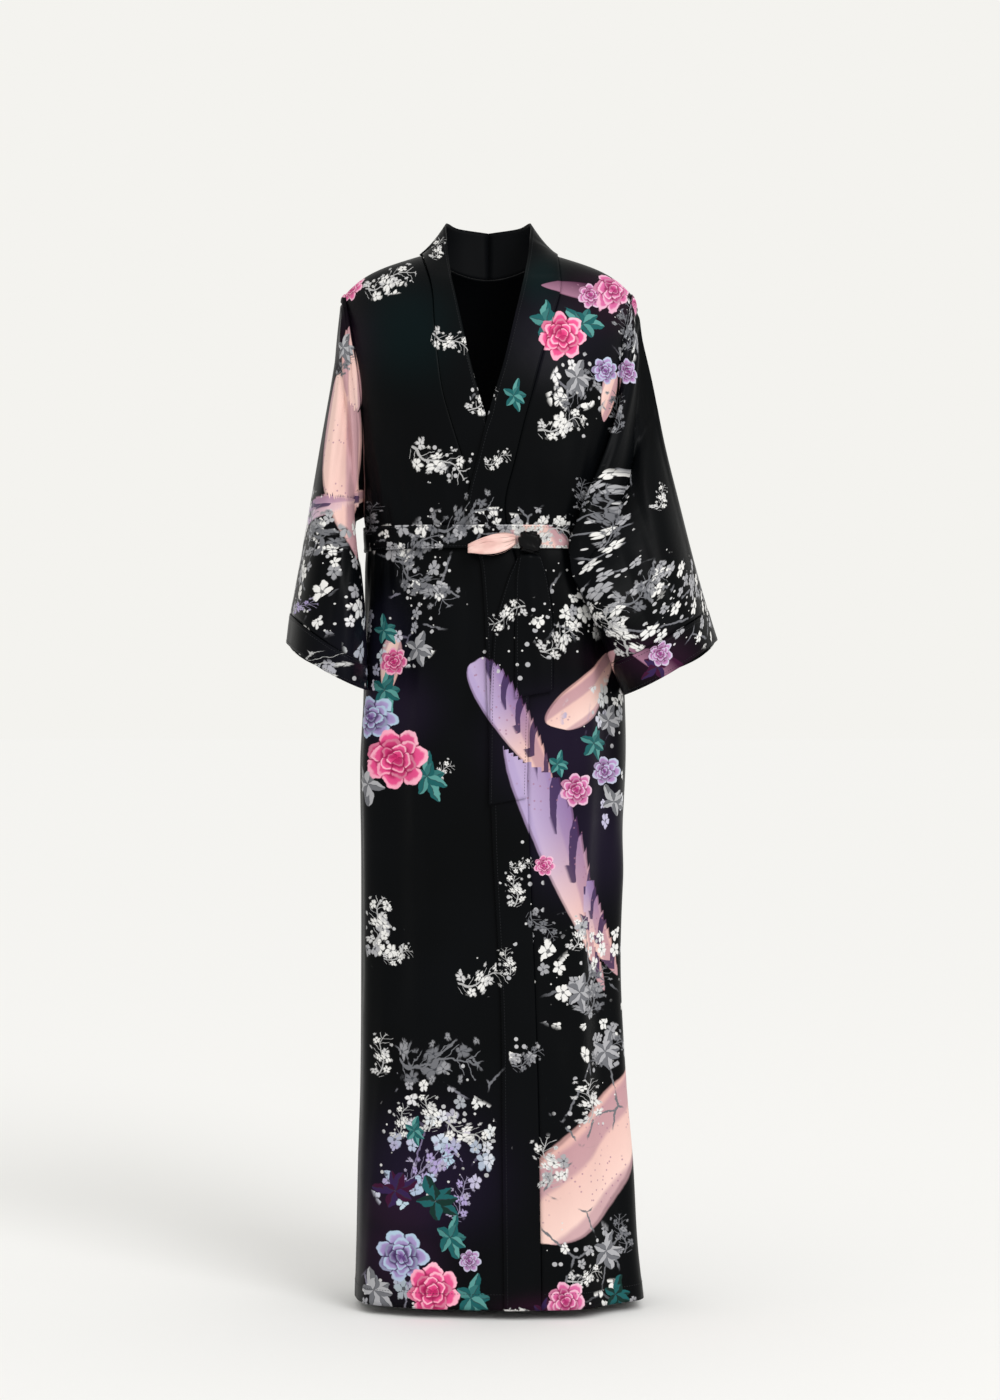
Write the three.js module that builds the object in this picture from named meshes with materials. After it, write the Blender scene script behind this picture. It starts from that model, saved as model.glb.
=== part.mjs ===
// A long satin kimono robe as it is worn, standing open and hollow as if on a figure.
// Units are millimetres. +Z is up, the robe's front faces -Y and the wearer's left is +X.
// The origin is at the base of the neck, on the line of the shoulder seams.

import * as THREE from 'three';
import { mergeVertices } from 'three/addons/utils/BufferGeometryUtils.js';

// Driving dimensions
const CLOTH = 1.3;
const DOUBLE_CLOTH = 2.3;
const SEAM_GAP = 0.4;
const HEM_LEVEL = -1321;
const ROLL_DROP = 190;
const ROLL_LENGTH = 240;
const ROUNDNESS = 2.35;
const HALF_DEPTH = 100;
const BODY_CENTRE = -6;
const SHOULDER_TOP = 6;
const NECK_HALF_WIDTH = 87.5;
const BACK_NECK_DEPTH = 78;
const BACK_NECK_POWER = 0.8;
const SHOULDER_SLOPE = 0.3;
const SHOULDER_ROUND = 20;
const SHOULDER_LENGTH = 95;

// How far the upper front stands off the lower one, and the heights and sides between which that begins.
const WRAP_LIFT = 4;
const WRAP_TOP = [-95, -190];
const WRAP_LEFT = [150, 100];
const WRAP_RIGHT = [-150, -60];

// The belt, and how its pinch takes the folds out of the robe.
const BELT_LEVEL = -357;
const BELT_HEIGHT = 31;
const UNDERARM_LEVEL = BELT_LEVEL + BELT_HEIGHT;
const BELT_CLOTH = 1.5;
const BELT_GAP = 0.6;
const BELT_PINCH = 28;
const BELT_FLATTENS = 0.85;
const FOLD_FADE_IN = 90;
const FOLD_FADE_OUT = 70;

// The neckband: where its foot comes to lie over the front's edge, and how much it bulges.
const BAND_OVER_EDGE = [-130, -70];
const BAND_BULGE = 8;

// The sleeves, and the room they keep to the body, its folds and the belt.
const LEFT_ARMHOLE_GIRTH = 765;
const RIGHT_ARMHOLE_GIRTH = 690;
const CUFF_GIRTH = 545;
const HEM_DROOP = 5;
const SLEEVE_CLEARANCE = 3;
const FOLD_ROOM = 3;
const BELT_ROOM = 7;
const BELT_ROOM_REACH = 34;
const SLEEVE_ROUNDNESS = 0.9;
const BACK_LAG = [12, 2];
const BACK_LEAD = [1.2, 0.6];
const BACK_SETTLES = [4.5, 9];
const TOP_TURN = [0.35, 0.9];
const TOP_HOLD = 0.3;
const INNER_ROOM = 3;
const FRONT_ROOM = 10;
const FRONT_ROOM_TURN = 0.45;
const SLEEVE_RINGS = [0, 0.25, 0.5, 0.75, 1, 1.25, 1.5, 2, 3, 4, 5, 6, 7, 8];
const CUFF_RINGS = [8.035, 8.5, 9];

// The hanging ends of the belt.
const TAIL_SLANT = 9;
const TAIL_RUFFLE = 1.6;

// How finely the cloth is divided: round a sleeve, across a front, the back, a band and a tail.
const RING_POINTS = 28;
const FRONT_COLUMNS = 11;
const BACK_COLUMNS = 22;
const BAND_COLUMNS = 4;
const SKIRT_ROWS = 14;
const SASH_COLUMNS = 48;
const SASH_ROWS = 3;
const LOOP_COLUMNS = 24;
const LOOP_ROWS = 3;
const TAIL_COLUMNS = 4;
const TAIL_ROWS = 10;
const STAND_ROW = 3;
const NECK_ROWS = 7;

// Sections of the body, down from the shoulders: its reach to each side, to the front and to the back.
const BODY_SECTIONS = [
  // level, right side, left side, front, back
  [0, -192, 180, 112, 98],
  [-90, -184, 172, 113, 100],
  [-180, -176, 168, 114, 100],
  [-270, -170, 164, 112, 97],
  [-330, -164, 160, 105, 91],
  [-360, -162, 159, 102, 89],
  [-400, -163, 161, 106, 94],
  [-560, -165, 168, 112, 102],
  [-640, -169, 169, 113, 104],
  [-760, -168, 163, 112, 103],
  [-900, -168, 159, 112, 102],
  [-1050, -169, 167, 114, 104],
  [-1150, -172, 176, 117, 108],
  [-1250, -174, 182, 121, 112],
  [HEM_LEVEL, -176, 190, 124, 116],
];

// The armhole's edge on the front panels, as an angle round the body from the centre front.
const ARMHOLE = [
  // level, degrees
  [0, 78],
  [-80, 71],
  [-190, 69],
  [-270, 73],
  [-315, 81],
  [UNDERARM_LEVEL, 89.8],
];

// Edges of the left front's band, which lies on top, and of the right front's band under it.
const TOP_BAND = [
  // height, free edge, seam
  [20, 47, 81],
  [0, 45, 82],
  [-43, 36, 84.5],
  [-79, 27.7, 76],
  [-138, 14, 59],
  [-175, 3, 49],
  [-211, -7.5, 39],
  [-261, -19.4, 27],
  [-311, -31, 15],
  [-345, -27, 17],
  [-399, -14, 31],
  [-579, -6, 39],
  [-749, 0, 45],
  [-942, 10, 52],
  [-1124, 12, 57],
  [HEM_LEVEL, 14, 60],
];
const UNDER_BAND = [
  // height, free edge, seam
  [20, -61, -93.5],
  [0, -59, -88],
  [-43, -49, -76],
  [-92, -38, -72],
  [-133, -29, -68],
  [-175, -18, -62],
  [-211, -7, -52],
  [-274, 13, -32],
  [-336, 30, -15],
  [-400, 58, 12],
  [-470, 72, 26],
  [HEM_LEVEL, 74, 28],
];

// The stretch where a band leaves the front, stands round the neck and meets the other at centre back.
// The free edge is given to the left of the centre of the neck, and mirrored for the other band.
const NECK_STAND = [
  // along, free edge across, free edge to the back, free edge height
  [0.25, 50, -38, -2],
  [0.5, 53, -13, 29],
  [0.68, 53, 17, 51],
  [0.86, 38, 48, 49],
  [1, 0, 61, 45],
];

// Soft folds of the body: where each starts and ends round the body and down it, its width and height.
const BODY_FOLDS = [
  // degrees at top, degrees at bottom, top level, bottom level, width, height
  [-30, -12, -235, -345, 8, 4.5],
  [-52, -34, -215, -345, 9, -3.5],
  [38, 26, -200, -345, 8, 4],
  [-18, -24, -375, -1100, 10, 5],
  [-44, -40, -385, -1000, 9, -5],
  [-66, -62, -420, -1321, 11, 6],
  [-38, -52, -900, -1321, 9, 5],
  [-10, -14, -1000, -1321, 8, -4],
  [36, 34, -385, -1150, 10, 6],
  [58, 50, -430, -1321, 10, -6],
  [24, 30, -950, -1321, 8, 5],
  [78, 72, -700, -1321, 10, 6],
  [122, 118, -380, -1321, 13, 6],
  [146, 150, -390, -1200, 11, -5],
  [172, 168, -375, -1321, 12, 6],
  [196, 200, -400, -1321, 11, -6],
  [218, 222, -380, -1250, 12, 6],
  [244, 246, -450, -1321, 11, -5],
  [150, 160, -60, -345, 12, 4],
  [208, 198, -60, -345, 12, 4],
];

// Rings 1 to 9 of the sleeves, from beside the armhole to the cuff's hem. The outer point of a ring is at its
// top and the inner one under the arm, and the front share is the part of its depth that lies in front.
const LEFT_SLEEVE = [
  // outer x, outer z, outer y, inner x, inner z, inner y, front share
  [182, -64, 0, 94, -363, -107, 0.4],
  [187, -84, 0, 95, -376, -111, 0.42],
  [193, -110, -3, 97, -388, -113, 0.44],
  [204, -158, -6, 99, -402, -112, 0.46],
  [219, -235, -10, 106, -420, -108, 0.5],
  [237, -309, -12, 118, -443, -101, 0.5],
  [256, -385, -14, 132, -473, -90, 0.48],
  [273, -446, -15, 149, -514, -76, 0.46],
  [285, -485, -15, 166, -555, -64, 0.45],
];
const RIGHT_SLEEVE = [
  // outer x, outer z, outer y, inner x, inner z, inner y, front share
  [-189, -53, 0, -168, -347, -10, 0.5],
  [-191, -66, 0, -172, -355, -14, 0.5],
  [-197, -98, 0, -174, -369, -18, 0.5],
  [-206, -154, 0, -174, -388, -22, 0.5],
  [-219, -228, 0, -173, -412, -25, 0.5],
  [-232, -305, 0, -172, -442, -28, 0.5],
  [-246, -385, 0, -171, -477, -30, 0.5],
  [-258, -449, 0, -169, -516, -32, 0.5],
  [-263, -488, 0, -168, -549, -34, 0.5],
];

// Lengthwise folds of the sleeves: where round the ring, from which ring to which, width and height.
const SLEEVE_FOLDS = [
  // degrees round the ring, first ring, last ring, width, height
  [50, 3, 9, 16, 4],
  [88, 2, 9, 14, -4],
  [128, 3, 9, 15, 4],
  [225, 3, 9, 16, 4],
  [268, 2, 9, 15, -4],
  [312, 3, 9, 16, 4],
];

// The belt's two hanging ends, by height.
const FRONT_TAIL = [
  // height, middle, width, stand-off
  [-382.6, 45, 24, 17],
  [-410, 47, 38, 13],
  [-460, 50, 46, 11],
  [-555, 50, 46, 10.6],
];
const BACK_TAIL = [
  // height, middle, width, stand-off
  [-382.6, 42, 22, 12.4],
  [-415, 35, 36, 9],
  [-480, 24, 46, 7.8],
  [-688, 18, 46, 7.8],
];

const KNOT = {
  x: 44, z: -366, width: 30, depth: 19, height: 32, off: 9.2, power: 0.7, rucks: 5, ruck: 0.12,
};
const LOOP = {
  rightX: 27, rightZ: -362, leftZ: -375, length: 56, height: 29, rightHeight: 12, off: 10.5, depth: 13,
};

// Finishes
const SATIN = { color: 0x08090c, roughness: 0.38, metalness: 0 };
const BAND_SATIN = { color: 0x0a0b0e, roughness: 0.4, metalness: 0 };
const BELT_SATIN = { color: 0x0b0c10, roughness: 0.36, metalness: 0 };
const BLUSH_SATIN = { color: 0xd9b4b4, roughness: 0.36, metalness: 0 };

const robe = new THREE.Group();

function clamp01(v) {
  return Math.min(1, Math.max(0, v));
}

function smooth(from, to, v) {
  const t = clamp01((v - from) / (to - from));
  return t * t * (3 - 2 * t);
}

// A smooth curve through the rows of a table, read at a value of its first column.
function readTable(rows, at) {
  const rising = rows[1][0] > rows[0][0] ? 1 : -1;
  let i = 0;
  while (i < rows.length - 2 && rising * (at - rows[i + 1][0]) > 0) i += 1;
  const start = rows[i][0];
  const span = rows[i + 1][0] - start;
  const t = clamp01((at - start) / span);
  return rows[i].slice(1).map((value, k) => {
    const column = k + 1;
    const slope = (a, b) => (rows[b][column] - rows[a][column]) / (rows[b][0] - rows[a][0]);
    const before = slope(Math.max(0, i - 1), i + 1) * span;
    const after = slope(i, Math.min(rows.length - 1, i + 2)) * span;
    const next = rows[i + 1][column];
    const t2 = t * t;
    const t3 = t2 * t;
    return (2 * t3 - 3 * t2 + 1) * value + (t3 - 2 * t2 + t) * before
      + (3 * t2 - 2 * t3) * next + (t3 - t2) * after;
  });
}

function signedPower(v, power) {
  return Math.sign(v) * Math.abs(v) ** power;
}

// The shoulder line's height across the body.
function shoulderHeight(x) {
  const beyond = Math.max(0, Math.abs(x - BODY_CENTRE) - NECK_HALF_WIDTH);
  return SHOULDER_TOP - SHOULDER_SLOPE * beyond - SHOULDER_ROUND * (beyond / SHOULDER_LENGTH) ** 4;
}

// What is left of the shoulders' slope at a level.
function slopeLeft(level) {
  return 1 - smooth(0, -UNDERARM_LEVEL, -level);
}

// Where cloth lies that has come a length down from the shoulder line.
function roll(length) {
  if (length >= ROLL_LENGTH) {
    return { level: -ROLL_DROP - (length - ROLL_LENGTH), out: 1 };
  }
  const turn = (Math.PI / 2) * length / ROLL_LENGTH;
  return { level: -ROLL_DROP * (1 - Math.cos(turn)), out: Math.sin(turn) };
}

function lengthTo(level) {
  if (level <= -ROLL_DROP) return ROLL_LENGTH + (-ROLL_DROP - level);
  return ROLL_LENGTH * Math.acos(clamp01(1 + level / ROLL_DROP)) / (Math.PI / 2);
}

// The height of all the folds together at a place. The belt presses them flat.
function foldHeight(turn, level) {
  let sum = 0;
  for (const [topTurn, endTurn, top, bottom, width, height] of BODY_FOLDS) {
    const down = clamp01((top - level) / (top - bottom));
    const middle = THREE.MathUtils.lerp(topTurn, endTurn, down);
    let away = THREE.MathUtils.radToDeg(turn) - middle;
    away -= 360 * Math.round(away / 360);
    const fadeOut = bottom > HEM_LEVEL ? 1 - smooth(0, FOLD_FADE_OUT, bottom - level) : 1;
    sum += height * Math.exp(-((away / width) ** 2)) * smooth(0, FOLD_FADE_IN, top - level) * fadeOut;
  }
  return sum * (1 - BELT_FLATTENS * Math.exp(-(((level - BELT_LEVEL) / BELT_PINCH) ** 2)));
}

// A point of the body's cloth. The turn goes round from the centre front, to +X first.
function barePoint(turn, length) {
  const { level, out } = roll(length);
  const [right, left, front, back] = readTable(BODY_SECTIONS, level);
  const x = (right + left) / 2 + (left - right) / 2 * signedPower(Math.sin(turn), 2 / ROUNDNESS);
  const c = Math.cos(turn);
  const y = -(c > 0 ? front : back) * signedPower(c, 2 / ROUNDNESS) * out;
  return new THREE.Vector3(x, y, level + shoulderHeight(x) * slopeLeft(level));
}

// The same point with the folds, moved out by a distance.
function bodyPoint(turn, length, off = 0) {
  const step = 0.01;
  const across = barePoint(turn + step, length).sub(barePoint(turn - step, length));
  const start = Math.max(0, length - 1);
  const down = barePoint(turn, start + 2).sub(barePoint(turn, start));
  const normal = down.cross(across).normalize();
  return barePoint(turn, length).addScaledVector(normal, foldHeight(turn, roll(length).level) + off);
}

// The turn of a place on the front.
function turnFor(x, level) {
  const [right, left] = readTable(BODY_SECTIONS, level);
  const share = Math.min(1, Math.max(-1, (x - (right + left) / 2) / ((left - right) / 2)));
  return Math.asin(signedPower(share, ROUNDNESS / 2));
}

// The level whose cloth reaches a height, the shoulders' slope taken off.
function levelOf(x, z) {
  let high = 0;
  let low = HEM_LEVEL;
  for (let i = 0; i < 40; i += 1) {
    const middle = (high + low) / 2;
    if (middle + shoulderHeight(x) * slopeLeft(middle) > z) high = middle;
    else low = middle;
  }
  return (high + low) / 2;
}

// A point of the front, by its place as seen from the front.
function frontPoint(x, z, off = 0) {
  const level = levelOf(x, z);
  return bodyPoint(turnFor(x, level), lengthTo(level), off);
}

// How far the upper front stands off the lower one at a place.
function wrapLift(x, z) {
  return WRAP_LIFT * smooth(...WRAP_TOP, z) * smooth(...WRAP_LEFT, x) * smooth(...WRAP_RIGHT, x);
}

// The way a line of points goes where it passes one of them.
function heading(before, here, after) {
  return here.clone().sub(before).normalize().add(after.clone().sub(here).normalize());
}

// Cloth of some thickness over a grid of points. A round grid closes on its own first column.
function clothWall(name, grid, thickness, round, finish) {
  const rows = grid.length;
  const columns = grid[0].length;
  const at = (i, j) => grid[i][round ? (j + columns) % columns : Math.min(columns - 1, Math.max(0, j))];
  const inner = [];
  const outer = [];
  for (let i = 0; i < rows; i += 1) {
    for (let j = 0; j < columns; j += 1) {
      const across = heading(at(i, j - 1), at(i, j), at(i, j + 1));
      const down = heading(at(Math.max(0, i - 1), j), at(i, j), at(Math.min(rows - 1, i + 1), j));
      const normal = down.cross(across).normalize();
      inner.push(at(i, j).clone());
      outer.push(at(i, j).clone().addScaledVector(normal, thickness));
    }
  }
  const positions = [...inner, ...outer].flatMap((p) => [p.x, p.y, p.z]);
  const index = [];
  const quad = (a, b, c, d) => index.push(a, b, c, a, c, d);
  const id = (i, j, side) => side * rows * columns + i * columns + (round ? j % columns : j);
  const last = round ? columns : columns - 1;
  for (let i = 0; i < rows - 1; i += 1) {
    for (let j = 0; j < last; j += 1) {
      quad(id(i, j, 1), id(i + 1, j, 1), id(i + 1, j + 1, 1), id(i, j + 1, 1));
      quad(id(i, j, 0), id(i, j + 1, 0), id(i + 1, j + 1, 0), id(i + 1, j, 0));
    }
  }
  for (let j = 0; j < last; j += 1) {
    quad(id(0, j, 0), id(0, j, 1), id(0, j + 1, 1), id(0, j + 1, 0));
    quad(id(rows - 1, j, 1), id(rows - 1, j, 0), id(rows - 1, j + 1, 0), id(rows - 1, j + 1, 1));
  }
  if (!round) {
    for (let i = 0; i < rows - 1; i += 1) {
      quad(id(i, 0, 1), id(i, 0, 0), id(i + 1, 0, 0), id(i + 1, 0, 1));
      quad(id(i, last, 0), id(i, last, 1), id(i + 1, last, 1), id(i + 1, last, 0));
    }
  }
  const geometry = new THREE.BufferGeometry();
  geometry.setAttribute('position', new THREE.Float32BufferAttribute(positions, 3));
  geometry.setIndex(index);
  geometry.computeVertexNormals();
  const mesh = new THREE.Mesh(geometry, new THREE.MeshStandardMaterial(finish));
  mesh.name = name;
  robe.add(mesh);
  return mesh;
}

// Evenly spaced values, both ends included.
function spread(count, from, to) {
  return Array.from({ length: count + 1 }, (_, i) => THREE.MathUtils.lerp(from, to, i / count));
}

// The level of the armhole's edge at a turn from the shoulder to the underarm.
function armholeLevel(turn) {
  return UNDERARM_LEVEL * (1 - Math.cos(turn)) / 2;
}

// Distances down the cloth for the rows of a panel: those of the sleeve's points, the belt and the skirt.
function panelRows() {
  const beltFoot = BELT_LEVEL - BELT_HEIGHT;
  const armhole = spread(RING_POINTS / 2, 0, Math.PI).map(armholeLevel);
  const belt = spread(4, UNDERARM_LEVEL, beltFoot).slice(1, -1);
  const lengths = [...armhole, ...belt, ...spread(SKIRT_ROWS, beltFoot, HEM_LEVEL)].map(lengthTo);
  lengths[0] = SEAM_GAP / 2;
  return lengths;
}

// The panel's outer edge: the armhole, then the side seam.
function edgeTurn(level) {
  const seam = Math.PI / 2 - SEAM_GAP / 2 / HALF_DEPTH;
  if (level <= UNDERARM_LEVEL) return seam;
  return Math.min(seam, THREE.MathUtils.degToRad(readTable(ARMHOLE, level)[0]));
}

// Where a band's free edge (column 0) or its seam (column 1) lies at a level, with a gap to one side.
function seamTurn(table, column, level, gap) {
  let x = readTable(table, level)[column];
  for (let i = 0; i < 6; i += 1) {
    const z = level + shoulderHeight(x) * slopeLeft(level);
    x = readTable(table, z)[column] + gap;
  }
  return turnFor(x, level);
}

function frontPanel(name, table, side) {
  const grid = panelRows().map((length) => {
    const { level } = roll(length);
    const inside = seamTurn(table, 1, level, side * SEAM_GAP);
    const turns = spread(FRONT_COLUMNS, inside, side * edgeTurn(level));
    if (side < 0) turns.reverse();
    return turns.map((turn) => {
      const bare = barePoint(turn, length);
      return bodyPoint(turn, length, side > 0 ? wrapLift(bare.x, bare.z) : 0);
    });
  });
  clothWall(name, grid, CLOTH, false, SATIN);
}

// How far down the cloth the back's neck edge lies.
function backNeck(x) {
  const share = (x - BODY_CENTRE) / NECK_HALF_WIDTH;
  return BACK_NECK_DEPTH * Math.max(0, 1 - share * share) ** BACK_NECK_POWER;
}

function backPanel() {
  const grid = panelRows().map((length) => {
    const edge = edgeTurn(roll(length).level);
    const left = 1 - clamp01(length / ROLL_LENGTH);
    return spread(BACK_COLUMNS, Math.PI - edge, Math.PI + edge)
      .map((turn) => bodyPoint(turn, length + backNeck(barePoint(turn, 0).x) * left * left));
  });
  clothWall('back', grid, CLOTH, false, SATIN);
}

// A band from the hem up its front and round the neck to the centre of the back.
function band(name, table, side) {
  const shares = spread(BAND_COLUMNS, 0, 1);
  const lengths = panelRows();
  const foot = CLOTH + 2 * SEAM_GAP;
  const grid = lengths.slice(STAND_ROW).reverse().map((length) => {
    const { level } = roll(length);
    const seam = seamTurn(table, 1, level, 0);
    const free = seamTurn(table, 0, level, 0);
    return shares.map((share) => {
      const turn = THREE.MathUtils.lerp(seam, free, share);
      const bare = barePoint(turn, length);
      const lift = side > 0 ? wrapLift(bare.x, bare.z) : 0;
      return bodyPoint(turn, length, lift + foot * (1 - share) * smooth(...BAND_OVER_EDGE, bare.z));
    });
  });
  const start = grid[grid.length - 1][BAND_COLUMNS];
  const stand = [[0, side * (start.x - BODY_CENTRE), start.y, start.z], ...NECK_STAND];
  const overShoulder = spread(STAND_ROW, 0, 0.5).slice(1);
  const roundNeck = spread(NECK_ROWS, 0.5, 1).slice(1);
  for (const along of [...overShoulder, ...roundNeck]) {
    const [across, toBack, height] = readTable(stand, along);
    const meet = along === 1 ? SEAM_GAP / 2 : 0;
    const free = new THREE.Vector3(BODY_CENTRE + side * (across + meet), toBack, height);
    const seated = neckFoot(table, side, along, foot, meet);
    const bulge = new THREE.Vector3(side * BAND_BULGE, along < 0.5 ? -BAND_BULGE : BAND_BULGE, 0);
    grid.push(shares.map((share) => seated.clone().lerp(free, share)
      .addScaledVector(bulge, share * (1 - share) * smooth(0, 0.3, along))));
  }
  if (side > 0) grid.forEach((row) => row.reverse());
  grid.reverse();
  clothWall(name, grid, DOUBLE_CLOTH, false, BAND_SATIN);
}

// The foot of the neck stand: over the shoulder to half its way, then round the back neck.
function neckFoot(table, side, along, off, meet) {
  if (along <= 0.5) {
    const length = panelRows()[Math.round(STAND_ROW * (1 - along / 0.5))];
    return bodyPoint(seamTurn(table, 1, roll(length).level, 0), length, off);
  }
  const x = BODY_CENTRE + side * (NECK_HALF_WIDTH * Math.cos((along - 0.5) * Math.PI) + meet);
  return bodyPoint(Math.PI - turnFor(x, 0), backNeck(x) + SEAM_GAP, off);
}

// Moves a point of a sleeve out until it is clear of the body and the belt, by a share of the full room. The
// sleeve's front half keeps clear of its back half as well. Its top lies over the open armhole and moves less.
function clearOfBody(point, turn, ring) {
  const level = levelOf(point.x, point.z);
  const [right, left, front, back] = readTable(BODY_SECTIONS, level);
  const centre = (right + left) / 2;
  const overWrap = point.y < 0 ? wrapLift(point.x - WRAP_LIFT, level) : 0;
  const overBelt = BELT_ROOM * Math.exp(-(((level - BELT_LEVEL) / BELT_ROOM_REACH) ** 4));
  const overFolds = FOLD_ROOM * smooth(-ROLL_DROP, UNDERARM_LEVEL, level);
  const layer = THREE.MathUtils.lerp(INNER_ROOM, FRONT_ROOM, smooth(1, 1.5, ring));
  const overBack = turn < Math.PI ? layer * smooth(Math.PI, Math.PI - FRONT_ROOM_TURN, turn) : 0;
  const room = SLEEVE_CLEARANCE + overFolds + overBelt + overWrap + overBack;
  const clearance = 2 * CLOTH + 2 * SEAM_GAP + Math.min(1, 3 * ring) * room;
  const reachX = (left - right) / 2 + clearance;
  const reachY = (point.y < 0 ? front : back) * roll(lengthTo(level)).out + clearance;
  const value = Math.abs((point.x - centre) / reachX) ** ROUNDNESS + Math.abs(point.y / reachY) ** ROUNDNESS;
  if (value >= 1) return point;
  const held = THREE.MathUtils.lerp(TOP_HOLD, 1, smooth(...TOP_TURN, Math.min(turn, 2 * Math.PI - turn)));
  const scale = THREE.MathUtils.lerp(1, value ** (-1 / ROUNDNESS), held);
  return new THREE.Vector3(centre + (point.x - centre) * scale, point.y * scale, point.z);
}

// A point of a sleeve ring with a swell, at a turn round it: from its top by the front to under the arm.
function ringPoint(row, turn, swell, ring) {
  const [topX, topZ, topY, underX, underZ, underY, frontShare] = row;
  const under = (1 - Math.cos(turn)) / 2;
  const side = Math.sin(turn) > 0 ? -1 : 1;
  const share = side < 0 ? frontShare : 1 - frontShare;
  const reach = Math.abs(Math.sin(turn));
  const settled = smooth(...BACK_SETTLES, ring);
  const forward = side < 0 ? under : under ** THREE.MathUtils.lerp(...BACK_LAG, settled);
  const down = side < 0 ? under : 1 - (1 - under) ** THREE.MathUtils.lerp(...BACK_LEAD, settled);
  let fold = 0;
  for (const [middle, first, last, width, height] of SLEEVE_FOLDS) {
    const away = (THREE.MathUtils.radToDeg(turn) - middle) / width;
    fold += height * Math.exp(-(away ** 2)) * smooth(first - 1, first + 1, ring) * smooth(last + 2, last, ring);
  }
  return new THREE.Vector3(
    THREE.MathUtils.lerp(topX, underX, forward),
    THREE.MathUtils.lerp(topY, underY, forward) + side * (2 * swell * share * reach ** SLEEVE_ROUNDNESS + fold),
    THREE.MathUtils.lerp(topZ, underZ, down) - HEM_DROOP * reach * reach,
  );
}

// The length all round a ring.
function girthOf(points) {
  return points.reduce((sum, p, i) => sum + p.distanceTo(points[(i + 1) % points.length]), 0);
}

// A ring of a sleeve, by its place from 0 at the armhole to 9 at the cuff's hem.
function sleeveRing(table, side, ring, turns, armholeGirth) {
  const seat = side > 0 ? 2 * CLOTH + 1.5 * SEAM_GAP : CLOTH + 2 * SEAM_GAP;
  const armhole = turns.map((turn) => {
    const level = armholeLevel(turn);
    const edge = turn <= Math.PI ? edgeTurn(level) : Math.PI - edgeTurn(level);
    return bodyPoint(side * edge, lengthTo(level), seat);
  });
  if (ring <= 0) return armhole;
  if (ring < 1) {
    const next = sleeveRing(table, side, 1, turns, armholeGirth);
    return armhole.map((point, i) => clearOfBody(point.lerp(next[i], ring), turns[i], ring));
  }
  const numbered = table.map((row, i) => [i + 1, ...row]);
  const row = readTable(numbered, ring);
  const girth = THREE.MathUtils.lerp(armholeGirth, CUFF_GIRTH, smooth(0, 7, ring));
  let low = 0;
  let high = 200;
  for (let i = 0; i < 30; i += 1) {
    const swell = (low + high) / 2;
    if (girthOf(turns.map((turn) => ringPoint(row, turn, swell, ring))) > girth) high = swell;
    else low = swell;
  }
  return turns.map((turn) => clearOfBody(ringPoint(row, turn, low, ring), turn, ring));
}

// A sleeve and its cuff, which starts a seam's gap beyond it.
function sleeve(name, cuffName, table, side, armholeGirth) {
  const turns = spread(RING_POINTS, 0, 2 * Math.PI).slice(0, RING_POINTS);
  const rings = (places) => places.map((ring) => {
    const points = sleeveRing(table, side, ring, turns, armholeGirth);
    return side > 0 ? points.reverse() : points;
  });
  clothWall(name, rings(SLEEVE_RINGS), CLOTH, true, SATIN);
  clothWall(cuffName, rings(CUFF_RINGS), DOUBLE_CLOTH, true, BAND_SATIN);
}

// How far off the body the belt's inside lies.
function beltOff({ x, y, z }) {
  const wrapped = y < 0 ? wrapLift(x, z) / WRAP_LIFT : 0;
  return CLOTH + BELT_GAP + wrapped * (WRAP_LIFT + DOUBLE_CLOTH - CLOTH);
}

// The belt where it lies round the waist.
function sash() {
  const turns = spread(SASH_COLUMNS, -Math.PI, Math.PI).slice(1);
  const levels = spread(SASH_ROWS, BELT_LEVEL + BELT_HEIGHT / 2, BELT_LEVEL - BELT_HEIGHT / 2);
  const grid = levels.map((level) => {
    const length = lengthTo(level);
    return turns.map((turn) => bodyPoint(turn, length, beltOff(barePoint(turn, length))));
  });
  clothWall('belt_sash', grid, BELT_CLOTH, true, BELT_SATIN);
}

// The knot, a rounded lump with shallow rucks that run to its middle.
function knot() {
  const geometry = new THREE.SphereGeometry(1, 16, 10);
  const position = geometry.getAttribute('position');
  const middle = frontPoint(KNOT.x, KNOT.z, KNOT.off + KNOT.depth / 2);
  for (let i = 0; i < position.count; i += 1) {
    const [x, y, z] = [position.getX(i), position.getY(i), position.getZ(i)];
    const ruck = 1 - KNOT.ruck * (0.5 - 0.5 * Math.cos(KNOT.rucks * Math.atan2(z, x))) * (1 - y * y);
    position.setXYZ(
      i,
      middle.x + signedPower(x, KNOT.power) * ruck * KNOT.width / 2,
      middle.y + signedPower(y, KNOT.power) * KNOT.depth / 2,
      middle.z + signedPower(z, KNOT.power) * ruck * KNOT.height / 2,
    );
  }
  const whole = mergeVertices(geometry.deleteAttribute('normal').deleteAttribute('uv'));
  whole.computeVertexNormals();
  const mesh = new THREE.Mesh(whole, new THREE.MeshStandardMaterial(BELT_SATIN));
  mesh.name = 'belt_knot';
  robe.add(mesh);
}

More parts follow.
